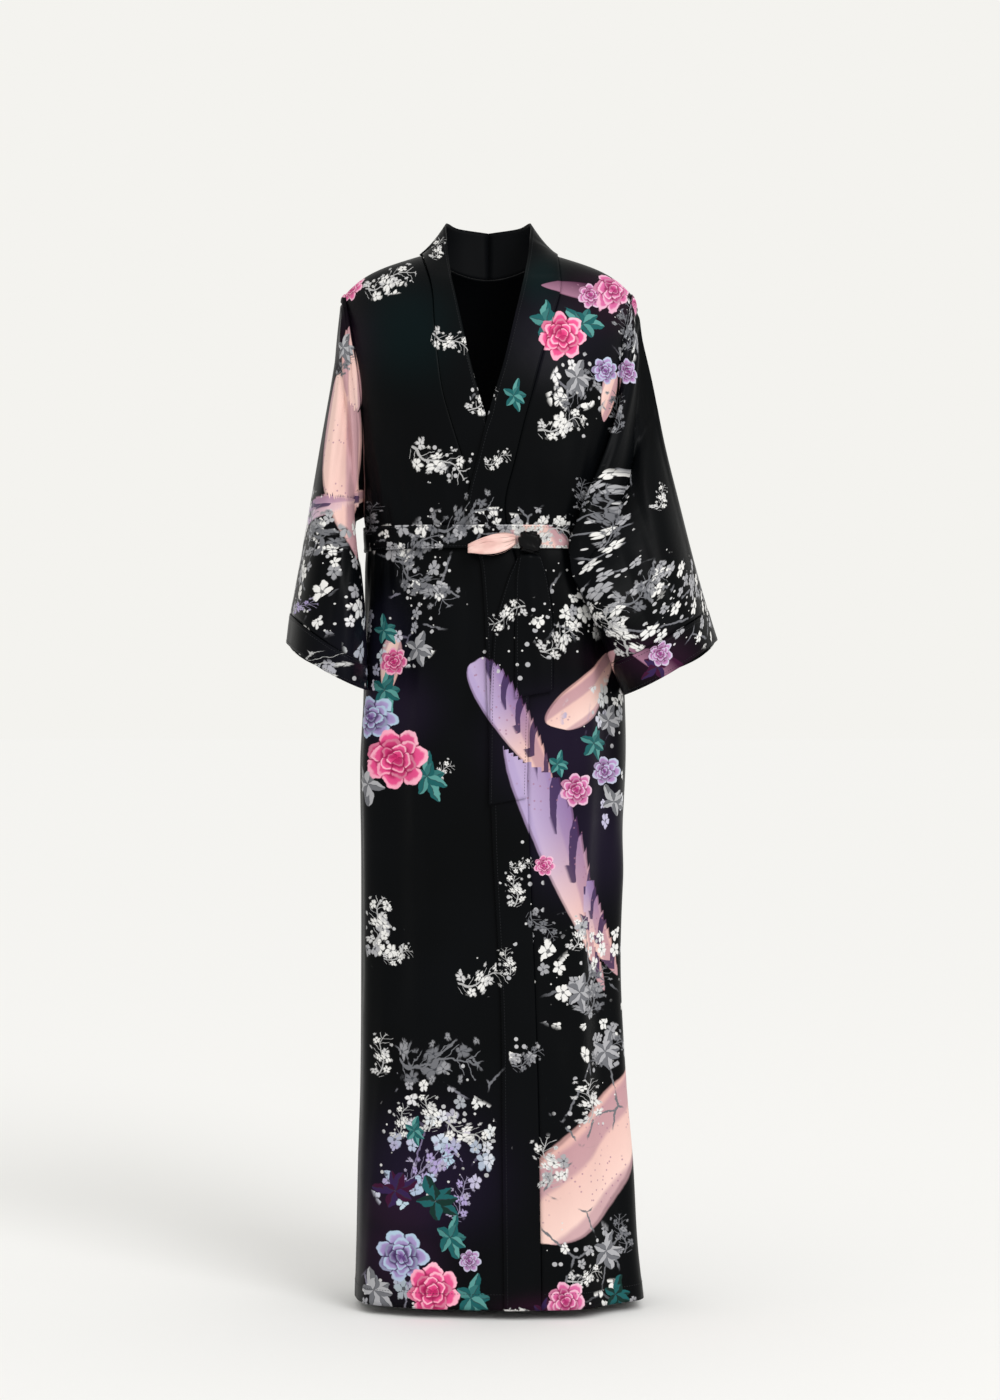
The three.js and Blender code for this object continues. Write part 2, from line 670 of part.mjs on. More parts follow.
// The bow's loop: a strip that leaves the knot, turns at its far end and comes back behind itself.
function loop() {
  const turns = spread(LOOP_COLUMNS, 0, 2 * Math.PI).slice(1);
  const grid = spread(LOOP_ROWS, 0.5, -0.5).map((share) => turns.map((turn) => {
    const out = (1 + Math.cos(turn)) / 2;
    const x = LOOP.rightX - LOOP.length * out;
    const z = THREE.MathUtils.lerp(LOOP.rightZ, LOOP.leftZ, out);
    const height = THREE.MathUtils.lerp(LOOP.rightHeight, LOOP.height, Math.sin(Math.PI * out ** 0.75));
    const off = LOOP.off + LOOP.depth * (0.5 + 0.5 * Math.sin(turn)) * (0.55 + 0.45 * out);
    return frontPoint(x, z + share * height, off);
  }));
  clothWall('belt_loop', grid, BELT_CLOTH, true, BLUSH_SATIN);
}

// A hanging end of the belt, flat over the robe's front, with a slanting cut at its foot.
function tail(name, table, finish) {
  const top = table[0][0];
  const bottom = table[table.length - 1][0];
  const grid = spread(TAIL_ROWS, 0, 1).map((down) => spread(TAIL_COLUMNS, -0.5, 0.5).map((across) => {
    const z = THREE.MathUtils.lerp(top, bottom + TAIL_SLANT * across, down);
    const [middle, width, off] = readTable(table, z);
    const ruffle = TAIL_RUFFLE * Math.cos(across * 2 * Math.PI) * (1 - smooth(0, 0.5, down));
    return frontPoint(middle + across * width, z, off + ruffle);
  }));
  clothWall(name, grid, BELT_CLOTH, false, finish);
}

frontPanel('front_right', UNDER_BAND, -1);
frontPanel('front_left', TOP_BAND, 1);
backPanel();
band('band_right', UNDER_BAND, -1);
band('band_left', TOP_BAND, 1);
sleeve('sleeve_left', 'cuff_left', LEFT_SLEEVE, 1, LEFT_ARMHOLE_GIRTH);
sleeve('sleeve_right', 'cuff_right', RIGHT_SLEEVE, -1, RIGHT_ARMHOLE_GIRTH);
sash();
knot();
loop();
tail('belt_tail_front', FRONT_TAIL, BELT_SATIN);
tail('belt_tail_back', BACK_TAIL, BELT_SATIN);

export default robe;
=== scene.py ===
"""A long black satin kimono robe: its cloth, sewing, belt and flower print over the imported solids."""

import math

import bpy
import numpy as np
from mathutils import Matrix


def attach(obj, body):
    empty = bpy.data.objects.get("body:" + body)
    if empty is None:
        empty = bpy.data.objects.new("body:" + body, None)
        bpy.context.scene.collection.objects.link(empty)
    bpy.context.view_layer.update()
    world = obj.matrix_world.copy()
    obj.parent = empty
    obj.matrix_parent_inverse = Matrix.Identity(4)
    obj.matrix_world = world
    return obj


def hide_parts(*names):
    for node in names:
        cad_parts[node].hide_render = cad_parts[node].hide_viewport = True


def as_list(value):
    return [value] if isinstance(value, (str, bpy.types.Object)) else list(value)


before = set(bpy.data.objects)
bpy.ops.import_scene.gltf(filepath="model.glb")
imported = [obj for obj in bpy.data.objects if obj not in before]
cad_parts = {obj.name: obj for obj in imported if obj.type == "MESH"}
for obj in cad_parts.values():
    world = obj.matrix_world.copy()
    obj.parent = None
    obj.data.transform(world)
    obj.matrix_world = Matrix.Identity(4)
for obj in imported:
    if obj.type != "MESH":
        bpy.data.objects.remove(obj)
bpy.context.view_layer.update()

# The robe's own sizes in millimetres, as in the part's source.
MM = 0.001
CLOTH = 1.3
DOUBLE_CLOTH = 2.3
SEAM_GAP = 0.4
SEWN_GAP = 0.06
HEM_LEVEL = -1321
ROLL_DROP = 190
ROLL_LENGTH = 240
ROUNDNESS = 2.35
HALF_DEPTH = 100
BODY_CENTRE = -6
SHOULDER_TOP = 6
NECK_HALF_WIDTH = 87.5
BACK_NECK_DEPTH = 78
BACK_NECK_POWER = 0.8
SHOULDER_SLOPE = 0.3
SHOULDER_ROUND = 20
SHOULDER_LENGTH = 95
WRAP_LIFT = 4
WRAP_TOP = (-95, -190)
WRAP_LEFT = (150, 100)
WRAP_RIGHT = (-150, -60)
BELT_LEVEL = -357
BELT_HEIGHT = 31
UNDERARM_LEVEL = BELT_LEVEL + BELT_HEIGHT
BELT_GAP = 0.6
BELT_PINCH = 28
BELT_FLATTENS = 0.85
FOLD_FADE_IN = 90
FOLD_FADE_OUT = 70
BAND_OVER_EDGE = (-130, -70)
BAND_BULGE = 8
LEFT_ARMHOLE_GIRTH = 765
RIGHT_ARMHOLE_GIRTH = 690
CUFF_GIRTH = 545
HEM_DROOP = 5
SLEEVE_CLEARANCE = 3
FOLD_ROOM = 3
BELT_ROOM = 7
BELT_ROOM_REACH = 34
SLEEVE_ROUNDNESS = 0.9
BACK_LAG = (12, 2)
BACK_LEAD = (1.2, 0.6)
BACK_SETTLES = (4.5, 9)
TOP_TURN = (0.35, 0.9)
TOP_HOLD = 0.3
INNER_ROOM = 3
FRONT_ROOM = 10
FRONT_ROOM_TURN = 0.45
RING_POINTS = 28
STAND_ROW = 3
TAIL_SLANT = 9
TAIL_RUFFLE = 1.6
SLEEVE_END = 8
LAST_RING = 9

# How thick the cloth is shown, single, doubled and in the belt, how far the hem's turned-in edge reaches and
# how much it adds, and how far off the body a sleeve begins.
SHOWN_CLOTH = 0.9
SHOWN_DOUBLE = 1.7
SHOWN_BELT = 1.0
HEM_TURN = 22
HEM_STEP = 0.35
SEAM_SEAT = 1.15

# The cloth is divided about this finely. The neckband's stand counts as so long in its print.
CLOTH_STEP = 6.5
STAND_STEPS = 36
STAND_RUN = 185

# The section over the thighs, where the distance round the body is measured for the print.
THIGH_LEVEL = -700
THIGH_POINTS = 1501

# Halvings of a searched length, fine enough for the size of what is searched.
LEVEL_HALVINGS = 30
SWELL_HALVINGS = 24

# A sleeve's print is laid round an upright axis: its places and radii at the shoulder and at the cuff.
SLEEVE_TOP = -50
SLEEVE_FALL = 450
SLEEVE_AXIS = (176, 214)
SLEEVE_AXIS_DEPTH = -12
SLEEVE_RADIUS = {-1: (50, 95), 1: (72, 138)}

# How far the print is drawn together or stretched at most to look even from the front where the cloth turns
# away, how many times a motif's own size its wobbly edge may reach, how squarely a wall must face the viewer to
# take a motif, the place given to a corner that lies in none, and a distance greater than any on the robe.
LEAST_STRETCH = 0.5
MOST_STRETCH = 2.5
MOTIF_REACH = 1.45
FACING = 0.12
NO_MOTIF = 9.0
FAR = 1e9

BODY_SECTIONS = [
    # level, right side, left side, front, back
    (0, -192, 180, 112, 98),
    (-90, -184, 172, 113, 100),
    (-180, -176, 168, 114, 100),
    (-270, -170, 164, 112, 97),
    (-330, -164, 160, 105, 91),
    (-360, -162, 159, 102, 89),
    (-400, -163, 161, 106, 94),
    (-560, -165, 168, 112, 102),
    (-640, -169, 169, 113, 104),
    (-760, -168, 163, 112, 103),
    (-900, -168, 159, 112, 102),
    (-1050, -169, 167, 114, 104),
    (-1150, -172, 176, 117, 108),
    (-1250, -174, 182, 121, 112),
    (HEM_LEVEL, -176, 190, 124, 116),
]
ARMHOLE = [
    # level, degrees
    (0, 78),
    (-80, 71),
    (-190, 69),
    (-270, 73),
    (-315, 81),
    (UNDERARM_LEVEL, 89.8),
]
TOP_BAND = [
    # height, free edge, seam
    (20, 47, 81),
    (0, 45, 82),
    (-43, 36, 84.5),
    (-79, 27.7, 76),
    (-138, 14, 59),
    (-175, 3, 49),
    (-211, -7.5, 39),
    (-261, -19.4, 27),
    (-311, -31, 15),
    (-345, -27, 17),
    (-399, -14, 31),
    (-579, -6, 39),
    (-749, 0, 45),
    (-942, 10, 52),
    (-1124, 12, 57),
    (HEM_LEVEL, 14, 60),
]
UNDER_BAND = [
    # height, free edge, seam
    (20, -61, -93.5),
    (0, -59, -88),
    (-43, -49, -76),
    (-92, -38, -72),
    (-133, -29, -68),
    (-175, -18, -62),
    (-211, -7, -52),
    (-274, 13, -32),
    (-336, 30, -15),
    (-400, 58, 12),
    (-470, 72, 26),
    (HEM_LEVEL, 74, 28),
]
NECK_STAND = [
    # along, free edge across, free edge to the back, free edge height
    (0.25, 50, -38, -2),
    (0.5, 53, -13, 29),
    (0.68, 53, 17, 51),
    (0.86, 38, 48, 49),
    (1, 0, 61, 45),
]
BODY_FOLDS = [
    # degrees at top, degrees at bottom, top level, bottom level, width, height
    (-30, -12, -235, -345, 8, 4.5),
    (-52, -34, -215, -345, 9, -3.5),
    (38, 26, -200, -345, 8, 4),
    (-18, -24, -375, -1100, 10, 5),
    (-44, -40, -385, -1000, 9, -5),
    (-66, -62, -420, -1321, 11, 6),
    (-38, -52, -900, -1321, 9, 5),
    (-10, -14, -1000, -1321, 8, -4),
    (36, 34, -385, -1150, 10, 6),
    (58, 50, -430, -1321, 10, -6),
    (24, 30, -950, -1321, 8, 5),
    (78, 72, -700, -1321, 10, 6),
    (122, 118, -380, -1321, 13, 6),
    (146, 150, -390, -1200, 11, -5),
    (172, 168, -375, -1321, 12, 6),
    (196, 200, -400, -1321, 11, -6),
    (218, 222, -380, -1250, 12, 6),
    (244, 246, -450, -1321, 11, -5),
    (150, 160, -60, -345, 12, 4),
    (208, 198, -60, -345, 12, 4),
]
# Shallower creases that only the cloth shows, between and beside the main folds.
CREASES = [
    # degrees at top, degrees at bottom, top level, bottom level, width, height
    (-14, -4, -262, -342, 3.2, 1.6),
    (-40, -24, -236, -342, 3.4, -1.5),
    (-62, -46, -190, -340, 3.6, 1.5),
    (-74, -70, -250, -345, 3.2, -1.4),
    (26, 17, -240, -342, 3, 1.4),
    (52, 36, -160, -340, 3.6, -1.6),
    (62, 50, -225, -342, 3.2, 1.3),
    (12, 16, -376, -520, 2.6, 1.6),
    (22, 27, -374, -610, 2.8, -1.6),
    (47, 43, -374, -560, 3, 1.7),
    (66, 62, -376, -700, 3.4, -1.5),
    (-6, -9, -374, -560, 2.8, -1.4),
    (-28, -32, -374, -700, 3, 1.7),
    (-35, -36, -376, -520, 2.4, -1.4),
    (-54, -51, -374, -650, 3.2, 1.6),
    (-76, -72, -376, -900, 3.4, -1.5),
    (-30, -20, -700, -1050, 4, -1.4),
    (-48, -58, -820, -1321, 4.2, 1.6),
    (44, 38, -640, -1100, 4, 1.4),
    (66, 60, -900, -1321, 4.2, -1.6),
    (16, 12, -1080, -1321, 3.6, -1.3),
    (-24, -34, -1090, -1321, 3.8, 1.4),
    (110, 112, -374, -640, 3.4, 1.6),
    (134, 130, -374, -800, 3.4, -1.5),
    (158, 162, -374, -560, 3, 1.6),
    (184, 181, -376, -720, 3.2, -1.6),
    (207, 211, -374, -620, 3, 1.5),
    (232, 229, -374, -820, 3.4, -1.5),
    (254, 258, -376, -660, 3.2, 1.4),
    (140, 152, -120, -342, 4, -1.4),
    (176, 178, -90, -342, 4.2, 1.3),
    (222, 208, -140, -342, 4, -1.5),
    (126, 124, -800, -1321, 4.4, -1.6),
    (164, 158, -760, -1321, 4.4, 1.5),
    (208, 214, -840, -1321, 4.6, -1.6),
    (236, 240, -700, -1250, 4.4, 1.5),
]
LEFT_SLEEVE = [
    # ring, outer x, outer z, outer y, inner x, inner z, inner y, front share
    (1, 182, -64, 0, 94, -363, -107, 0.4),
    (2, 187, -84, 0, 95, -376, -111, 0.42),
    (3, 193, -110, -3, 97, -388, -113, 0.44),
    (4, 204, -158, -6, 99, -402, -112, 0.46),
    (5, 219, -235, -10, 106, -420, -108, 0.5),
    (6, 237, -309, -12, 118, -443, -101, 0.5),
    (7, 256, -385, -14, 132, -473, -90, 0.48),
    (8, 273, -446, -15, 149, -514, -76, 0.46),
    (9, 285, -485, -15, 166, -555, -64, 0.45),
]
RIGHT_SLEEVE = [
    # ring, outer x, outer z, outer y, inner x, inner z, inner y, front share
    (1, -189, -53, 0, -168, -347, -12, 0.5),
    (2, -191, -66, 0, -171, -355, -20, 0.5),
    (3, -197, -98, 0, -171, -369, -28, 0.5),
    (4, -206, -154, 0, -169, -388, -38, 0.5),
    (5, -219, -228, 0, -166, -412, -46, 0.5),
    (6, -232, -305, 0, -163, -442, -52, 0.5),
    (7, -246, -385, 0, -161, -477, -56, 0.5),
    (8, -258, -449, 0, -160, -516, -58, 0.5),
    (9, -263, -488, 0, -160, -549, -60, 0.5),
]
SLEEVE_FOLDS = [
    # degrees round the ring, first ring, last ring, width, height
    (50, 3, 9, 16, 4),
    (88, 2, 9, 14, -4),
    (128, 3, 9, 15, 4),
    (225, 3, 9, 16, 4),
    (268, 2, 9, 15, -4),
    (312, 3, 9, 16, 4),
]
SLEEVE_CREASES = [
    # degrees at the first ring, degrees at the last, first ring, last ring, width, height
    (34, 62, 1.6, 5.2, 5, 1.7),
    (70, 74, 2.2, 7.4, 4.6, -1.5),
    (104, 98, 2.4, 9, 5, 1.6),
    (140, 116, 1.8, 6, 5.4, -1.8),
    (152, 150, 3.4, 9, 5, 1.5),
    (22, 28, 4.5, 9, 5, -1.4),
    (206, 214, 2, 8, 5.4, 1.6),
    (246, 240, 3, 9, 5.2, -1.6),
    (290, 284, 2.2, 7.5, 5, 1.6),
    (334, 326, 3.2, 9, 5.2, -1.5),
]
FRONT_TAIL = [
    # height, middle, width, stand-off
    (-382.6, 45, 24, 17),
    (-410, 47, 38, 13),
    (-460, 50, 46, 11),
    (-555, 50, 46, 10.6),
]
BACK_TAIL = [
    # height, middle, width, stand-off
    (-382.6, 42, 22, 12.4),
    (-415, 35, 36, 9),
    (-480, 24, 46, 7.8),
    (-688, 18, 46, 7.8),
]
KNOT = {"x": 44, "z": -366, "width": 30, "depth": 19, "height": 32, "off": 9.2, "power": 0.7}
LOOP = {
    "right_x": 27, "right_z": -362, "left_z": -375, "length": 56, "height": 29, "right_height": 12,
    "off": 10.5, "depth": 13,
}

# The print: where each flower, leaf, spray and plume lies, as seen from the front, or from the back where
# behind is 1. Heights and reaches are millimetres.
PEONIES = [
    # x, height, radius, degrees, tone from pink to purple, behind
    (154, -38, 27, 20, 0.3, 0),
    (87, -104, 32, 0, 0, 0),
    (-121, -635, 40, 10, 0, 0),
    (-76, -1299, 36, 40, 0, 0),
    (105, -674, 23, 0, 0.4, 0),
    (64, -768, 14, 0, 0.3, 0),
    (90, -1310, 26, 0, 0.25, 0),
    (-181, -37, 18, 0, 0.2, 0),
    (173, -145, 17, 0, 0.8, 0),
    (62, -150, 32, 0, 0, 1),
    (-58, -770, 38, 30, 0, 1),
    (96, -1180, 34, 0, 0.3, 1),
    (-120, -250, 26, 0, 0.4, 1),
    (-236, -330, 24, 0, 0, 1),
    (230, -260, 24, 0, 0.2, 1),
]
ROSES = [
    # x, height, radius, degrees, tone from pink to purple, behind
    (142, -146, 18, 30, 0.9, 0),
    (-155, -583, 28, 0, 1, 0),
    (-114, -1258, 33, 60, 1, 0),
    (141, -651, 19, 0, 0.85, 0),
    (-124, -513, 19, 0, 0.15, 0),
    (124, -49, 18, 0, 0.5, 0),
    (-29, -1260, 15, 0, 0.8, 0),
    (208, -504, 17, 0, 0.7, 0),
    (20, -190, 26, 0, 1, 1),
    (-100, -720, 28, 0, 1, 1),
    (52, -1215, 30, 0, 0.9, 1),
    (-20, -1262, 24, 0, 0.2, 1),
]
LEAVES = [
    # x, height, radius, degrees, tone: teal 0, dark green 1, grey 2, plum 3, behind
    (67, -87, 35, 20, 0, 0),
    (114, -87, 32, 70, 0, 0),
    (-83, -658, 35, 10, 0, 0),
    (-137, -549, 33, 0, 0, 0),
    (-158, -668, 31, 200, 2, 0),
    (-27, -1306, 35, 0, 0, 0),
    (-72, -1186, 38, 40, 1, 0),
    (-122, -1177, 36, 100, 3, 0),
    (-149, -1303, 33, 30, 2, 0),
    (-53, -1231, 31, 0, 0, 0),
    (154, -1310, 28, 0, 1, 0),
    (62, -1322, 21, 0, 3, 0),
    (127, -615, 26, 0, 0, 0),
    (153, -690, 28, 50, 2, 0),
    (26, -183, 24, 0, 0, 0),
    (141, -1254, 28, 0, 2, 0),
    (81, -641, 19, 0, 0, 0),
    (-95, -497, 26, 0, 2, 0),
    (108, -927, 28, 0, 2, 0),
    (141, -1004, 28, 0, 2, 0),
    (204, -520, 26, 150, 3, 0),
    (-138, -474, 23, 20, 0, 0),
    (-190, -115, 23, 0, 2, 0),
    (182, -97, 26, 0, 2, 0),
    (105, -158, 28, 0, 2, 0),
    (-99, -1100, 21, 0, 0, 0),
    (145, -587, 23, 0, 2, 0),
    (30, -120, 36, 0, 0, 1),
    (95, -175, 34, 60, 0, 1),
    (-20, -800, 38, 0, 0, 1),
    (-100, -830, 34, 50, 1, 1),
    (125, -1140, 34, 0, 0, 1),
    (40, -1265, 36, 0, 3, 1),
    (-60, -1250, 36, 0, 2, 1),
    (-130, -215, 30, 0, 2, 1),
    (-60, -430, 28, 0, 2, 1),
    (120, -620, 28, 0, 0, 1),
    (-236, -300, 28, 0, 0, 1),
    (236, -225, 28, 0, 2, 1),
]
SPRAYS = [
    # x, height, half length, degrees, tone: white 0, grey 1, lavender 2, behind
    (-133, -29, 35, 8, 0, 0),
    (-71, 13, 17, 60, 0, 0),
    (-53, -113, 26, -30, 0, 0),
    (-13, -187, 23, 35, 0, 0),
    (105, -173, 36, -160, 1, 0),
    (88, -217, 31, 5, 0, 0),
    (-68, -264, 40, -38, 0, 0),
    (-35, -336, 46, 8, 1, 0),
    (62, -353, 36, -5, 0, 0),
    (-92, -367, 38, 15, 1, 0),
    (-85, -418, 41, -50, 1, 0),
    (18, -456, 26, 200, 0, 0),
    (85, -485, 31, 25, 0, 0),
    (146, -331, 40, 80, 1, 0),
    (191, -423, 36, 28, 1, 0),
    (-227, -346, 35, 85, 1, 0),
    (-244, -444, 15, 0, 2, 0),
    (-144, -840, 31, 70, 0, 0),
    (-117, -882, 19, 10, 0, 0),
    (-12, -910, 33, 5, 0, 0),
    (44, -1008, 22, 20, 1, 0),
    (28, -797, 22, 80, 0, 0),
    (62, -844, 24, -60, 1, 0),
    (108, -854, 22, 60, 0, 0),
    (-71, -1013, 56, -12, 1, 0),
    (-114, -1090, 23, 60, 0, 0),
    (-32, -1103, 33, -40, 0, 0),
    (-72, -1138, 38, 10, 2, 0),
    (-79, -1074, 28, 80, 0, 0),
    (36, -768, 15, 0, 0, 0),
    (127, -927, 31, 60, 1, 0),
    (146, -1004, 26, 20, 1, 0),
    (123, -1064, 28, 80, 0, 0),
    (69, -1138, 32, 85, 0, 0),
    (119, -1282, 23, 0, 0, 0),
    (19, -1329, 18, 0, 0, 0),
    (-140, -1008, 28, 70, 0, 0),
    (6, -262, 18, 10, 0, 0),
    (172, -91, 28, 80, 1, 0),
    (159, -200, 26, 80, 1, 0),
    (-105, -1164, 26, 30, 2, 0),
    (-40, -1183, 28, 60, 2, 0),
    (-64, -651, 18, 20, 0, 0),
    (163, -1235, 26, 90, 1, 0),
    (-190, -136, 18, 40, 1, 0),
    (112, -305, 21, 70, 1, 0),
    (-155, -331, 21, 60, 1, 0),
    (19, -888, 18, 90, 0, 0),
    (214, -305, 18, 60, 0, 0),
    (-40, -110, 40, 20, 0, 1),
    (60, -230, 42, -40, 0, 1),
    (-110, -330, 38, 60, 1, 1),
    (20, -430, 44, 0, 1, 1),
    (100, -480, 34, 70, 0, 1),
    (-120, -540, 40, 80, 0, 1),
    (0, -600, 34, 20, 0, 1),
    (70, -700, 38, -60, 1, 1),
    (-40, -900, 42, 30, 0, 1),
    (90, -860, 40, 80, 1, 1),
    (-110, -1000, 44, 60, 0, 1),
    (20, -1060, 46, -20, 1, 1),
    (110, -1010, 30, 60, 0, 1),
    (-60, -1150, 40, 0, 2, 1),
    (0, -1190, 34, 60, 2, 1),
    (-120, -1210, 36, 30, 1, 1),
    (-225, -440, 34, 80, 1, 1),
    (240, -380, 36, 80, 0, 1),
    (255, -500, 28, 20, 1, 1),
    (-240, -520, 28, 30, 0, 1),
    (150, -1230, 30, 60, 1, 1),
    (120, -90, 24, 0, 0, 1),
]
PLUMES = [
    # x, height, half length, half width, degrees of the tip, tone: blush 0, barred 1, plum 2, behind
    (-188, -266, 120, 27, -84, 0, 0),
    (-181, -141, 56, 12, 96, 0, 0),
    (94, -764, 179, 32, -68, 1, 0),
    (27, -590, 92, 26, -58, 1, 0),
    (127, -546, 56, 18, 62, 0, 0),
    (135, -1126, 118, 42, 66, 0, 0),
    (208, -515, 44, 14, 155, 2, 0),
    (115, -44, 56, 13, 172, 2, 0),
    (146, -179, 36, 10, -100, 0, 0),
    (-129, -520, 38, 15, -100, 0, 0),
    (122, -824, 90, 15, -75, 1, 0),
    (60, -800, 190, 34, -105, 1, 1),
    (-90, -1120, 110, 40, 110, 0, 1),
    (225, -420, 90, 18, -80, 0, 1),
    (-70, -330, 80, 20, 30, 1, 1),
    (-232, -430, 60, 14, -100, 2, 1),
]
SCATTER = [
    # x, height, reach across, reach up, share of blossoms, of dots and of twigs, behind
    (-135, -28, 33, 18, 0.31, 0.4, 0.2, 0),
    (-55, -113, 26, 23, 0.19, 0.4, 0.2, 0),
    (-14, -179, 18, 33, 0.37, 0.48, 0.4, 0),
    (109, -171, 44, 51, 0.28, 0.28, 0.4, 0),
    (173, -87, 28, 64, 0.22, 0.16, 0.4, 0),
    (92, -215, 36, 18, 0.19, 0.56, 0.3, 0),
    (-68, -267, 44, 31, 0.06, 0.48, 0.3, 0),
    (9, -341, 115, 26, 0.31, 0.48, 0.8, 0),
    (-119, -363, 51, 26, 0.31, 0.16, 0.5, 0),
    (-87, -420, 51, 64, 0.34, 0.4, 0.7, 0),
    (86, -472, 64, 38, 0.19, 0.48, 0.3, 0),
    (147, -331, 51, 77, 0.22, 0.32, 0.6, 0),
    (-227, -344, 28, 56, 0.12, 0.3, 0.3, 0),
    (-138, -856, 31, 56, 0.31, 0.24, 0.2, 0),
    (-9, -908, 38, 28, 0.12, 0.4, 0.2, 0),
    (41, -1004, 26, 26, 0.25, 0.48, 0.1, 0),
    (35, -805, 26, 64, 0.12, 0.48, 0.2, 0),
    (118, -901, 51, 77, 0.37, 0.16, 0.4, 0),
    (137, -997, 38, 38, 0.37, 0.16, 0.4, 0),
    (-68, -1023, 77, 38, 0.12, 0.16, 0.9, 0),
    (-81, -1126, 82, 90, 0.46, 0.24, 0.3, 0),
    (-113, -1087, 38, 33, 0.25, 0.32, 0.2, 0),
    (-23, -1113, 46, 56, 0.31, 0.32, 0.3, 0),
    (124, -1068, 33, 51, 0.12, 0.24, 0.8, 0),
    (71, -1138, 28, 51, 0.25, 0.16, 0.7, 0),
    (118, -1247, 56, 51, 0.19, 0.24, 0.8, 0),
    (15, -1328, 38, 13, 0.37, 0.24, 0.2, 0),
    (-119, -1305, 64, 38, 0.37, 0.16, 0.6, 0),
    (137, -1311, 51, 26, 0.25, 0.16, 0.3, 0),
    (137, -587, 38, 64, 0.25, 0.16, 0.3, 0),
    (153, -677, 26, 64, 0.37, 0.08, 0.2, 0),
    (195, -427, 44, 44, 0.14, 0.24, 0.4, 0),
    (-190, -151, 26, 51, 0.1, 0.08, 0.2, 0),
    (-106, -485, 38, 38, 0.31, 0.32, 0.3, 0),
    (-151, -485, 26, 77, 0.31, 0.08, 0.2, 0),
    (15, -510, 31, 38, 0.12, 0.56, 0.1, 0),
    (0, -170, 110, 110, 0.5, 0.4, 0.4, 1),
    (-90, -380, 70, 100, 0.5, 0.5, 0.5, 1),
    (60, -450, 90, 60, 0.4, 0.5, 0.6, 1),
    (-110, -600, 60, 90, 0.4, 0.4, 0.5, 1),
    (80, -820, 80, 120, 0.5, 0.4, 0.5, 1),
    (-60, -960, 100, 110, 0.5, 0.4, 0.6, 1),
    (40, -1200, 140, 110, 0.7, 0.3, 0.5, 1),
    (-230, -450, 50, 110, 0.5, 0.4, 0.5, 1),
    (240, -430, 50, 120, 0.5, 0.4, 0.5, 1),
    (-175, -900, 60, 200, 0.3, 0.3, 0.4, 1),
]
# Soft patches over the black ground. The teal share is painted sheen, a lighter cast where the satin would
# catch light. Lavender and plum tint the ground and the blossoms.
TINTS_AND_SHEEN = [
    # x, height, reach across, reach up, teal painted sheen, lavender, plum, behind
    (-113, -94, 64, 64, 0.5, 0, 0, 0),
    (62, -33, 26, 44, 0.7, 0, 0, 0),
    (-81, -1158, 90, 77, 0.2, 1, 0.1, 0),
    (86, -619, 77, 64, 0.3, 0.9, 0.2, 0),
    (124, -735, 51, 77, 0.2, 0.8, 0.1, 0),
    (-138, -497, 38, 64, 0.4, 0.5, 0.1, 0),
    (-124, -574, 56, 51, 0.3, 0.7, 0.2, 0),
    (-119, -1254, 56, 51, 0.2, 0.6, 0.5, 0),
    (92, -97, 77, 51, 0.4, 0.2, 0.2, 0),
    (150, -49, 51, 38, 0.1, 0.1, 0.6, 0),
    (-190, -113, 31, 51, 0.1, 0.1, 0.3, 0),
    (208, -510, 64, 26, 0, 0.2, 0.7, 0),
    (60, -1324, 51, 21, 0, 0, 0.8, 0),
    (-119, -1203, 51, 33, 0.4, 0.1, 0.6, 0),
    (40, -160, 90, 70, 0.4, 0.3, 0.1, 1),
    (-70, -760, 90, 80, 0.3, 0.8, 0.2, 1),
    (50, -1190, 130, 90, 0.3, 0.7, 0.3, 1),
    (-60, -1120, 70, 60, 0.1, 0.2, 0.4, 1),
]


def smooth(start, end, v):
    """0 before the start, 1 after the end and an even rise between. The end may be the lower one."""
    t = np.clip((v - start) / (end - start), 0, 1)
    return t * t * (3 - 2 * t)


def blend(a, b, t):
    return a + (b - a) * t


def read_table(rows, at):
    """A smooth curve through a table's rows, read at values of its first column, column by column."""
    rows = np.asarray(rows, float)
    at = np.asarray(at, float)
    key, values = rows[:, 0], rows[:, 1:]
    sign = 1 if key[1] > key[0] else -1
    i = np.clip(np.searchsorted(sign * key, sign * at, side="left") - 1, 0, len(key) - 2)
    before, after = np.maximum(i - 1, 0), np.minimum(i + 2, len(key) - 1)
    span = (key[i + 1] - key[i])[..., None]
    t = np.clip((at[..., None] - key[i][..., None]) / span, 0, 1)
    slope_in = (values[i + 1] - values[before]) / (key[i + 1] - key[before])[..., None] * span
    slope_out = (values[after] - values[i]) / (key[after] - key[i])[..., None] * span
    t2, t3 = t * t, t * t * t
    curve = (2 * t3 - 3 * t2 + 1) * values[i] + (t3 - 2 * t2 + t) * slope_in
    curve = curve + (3 * t2 - 2 * t3) * values[i + 1] + (t3 - t2) * slope_out
    return np.moveaxis(curve, -1, 0)


def signed_power(v, power):
    return np.sign(v) * np.abs(v) ** power


def unit(v):
    return v / np.maximum(1e-9, np.linalg.norm(v, axis=-1, keepdims=True))


def shoulder_height(x):
    """The shoulder line's height across the robe."""
    beyond = np.maximum(0, np.abs(x - BODY_CENTRE) - NECK_HALF_WIDTH)
    return SHOULDER_TOP - SHOULDER_SLOPE * beyond - SHOULDER_ROUND * (beyond / SHOULDER_LENGTH) ** 4


def slope_left(level):
    """How much of the shoulder's slope is left at a level: all at the top, none under the arm."""
    return 1 - smooth(0, -UNDERARM_LEVEL, -level)


def roll(length):
    """The level and the share of full depth of cloth that has come a length down from the shoulder line."""
    turn = math.pi / 2 * np.minimum(length, ROLL_LENGTH) / ROLL_LENGTH
    return -ROLL_DROP * (1 - np.cos(turn)) - np.maximum(0, length - ROLL_LENGTH), np.sin(turn)


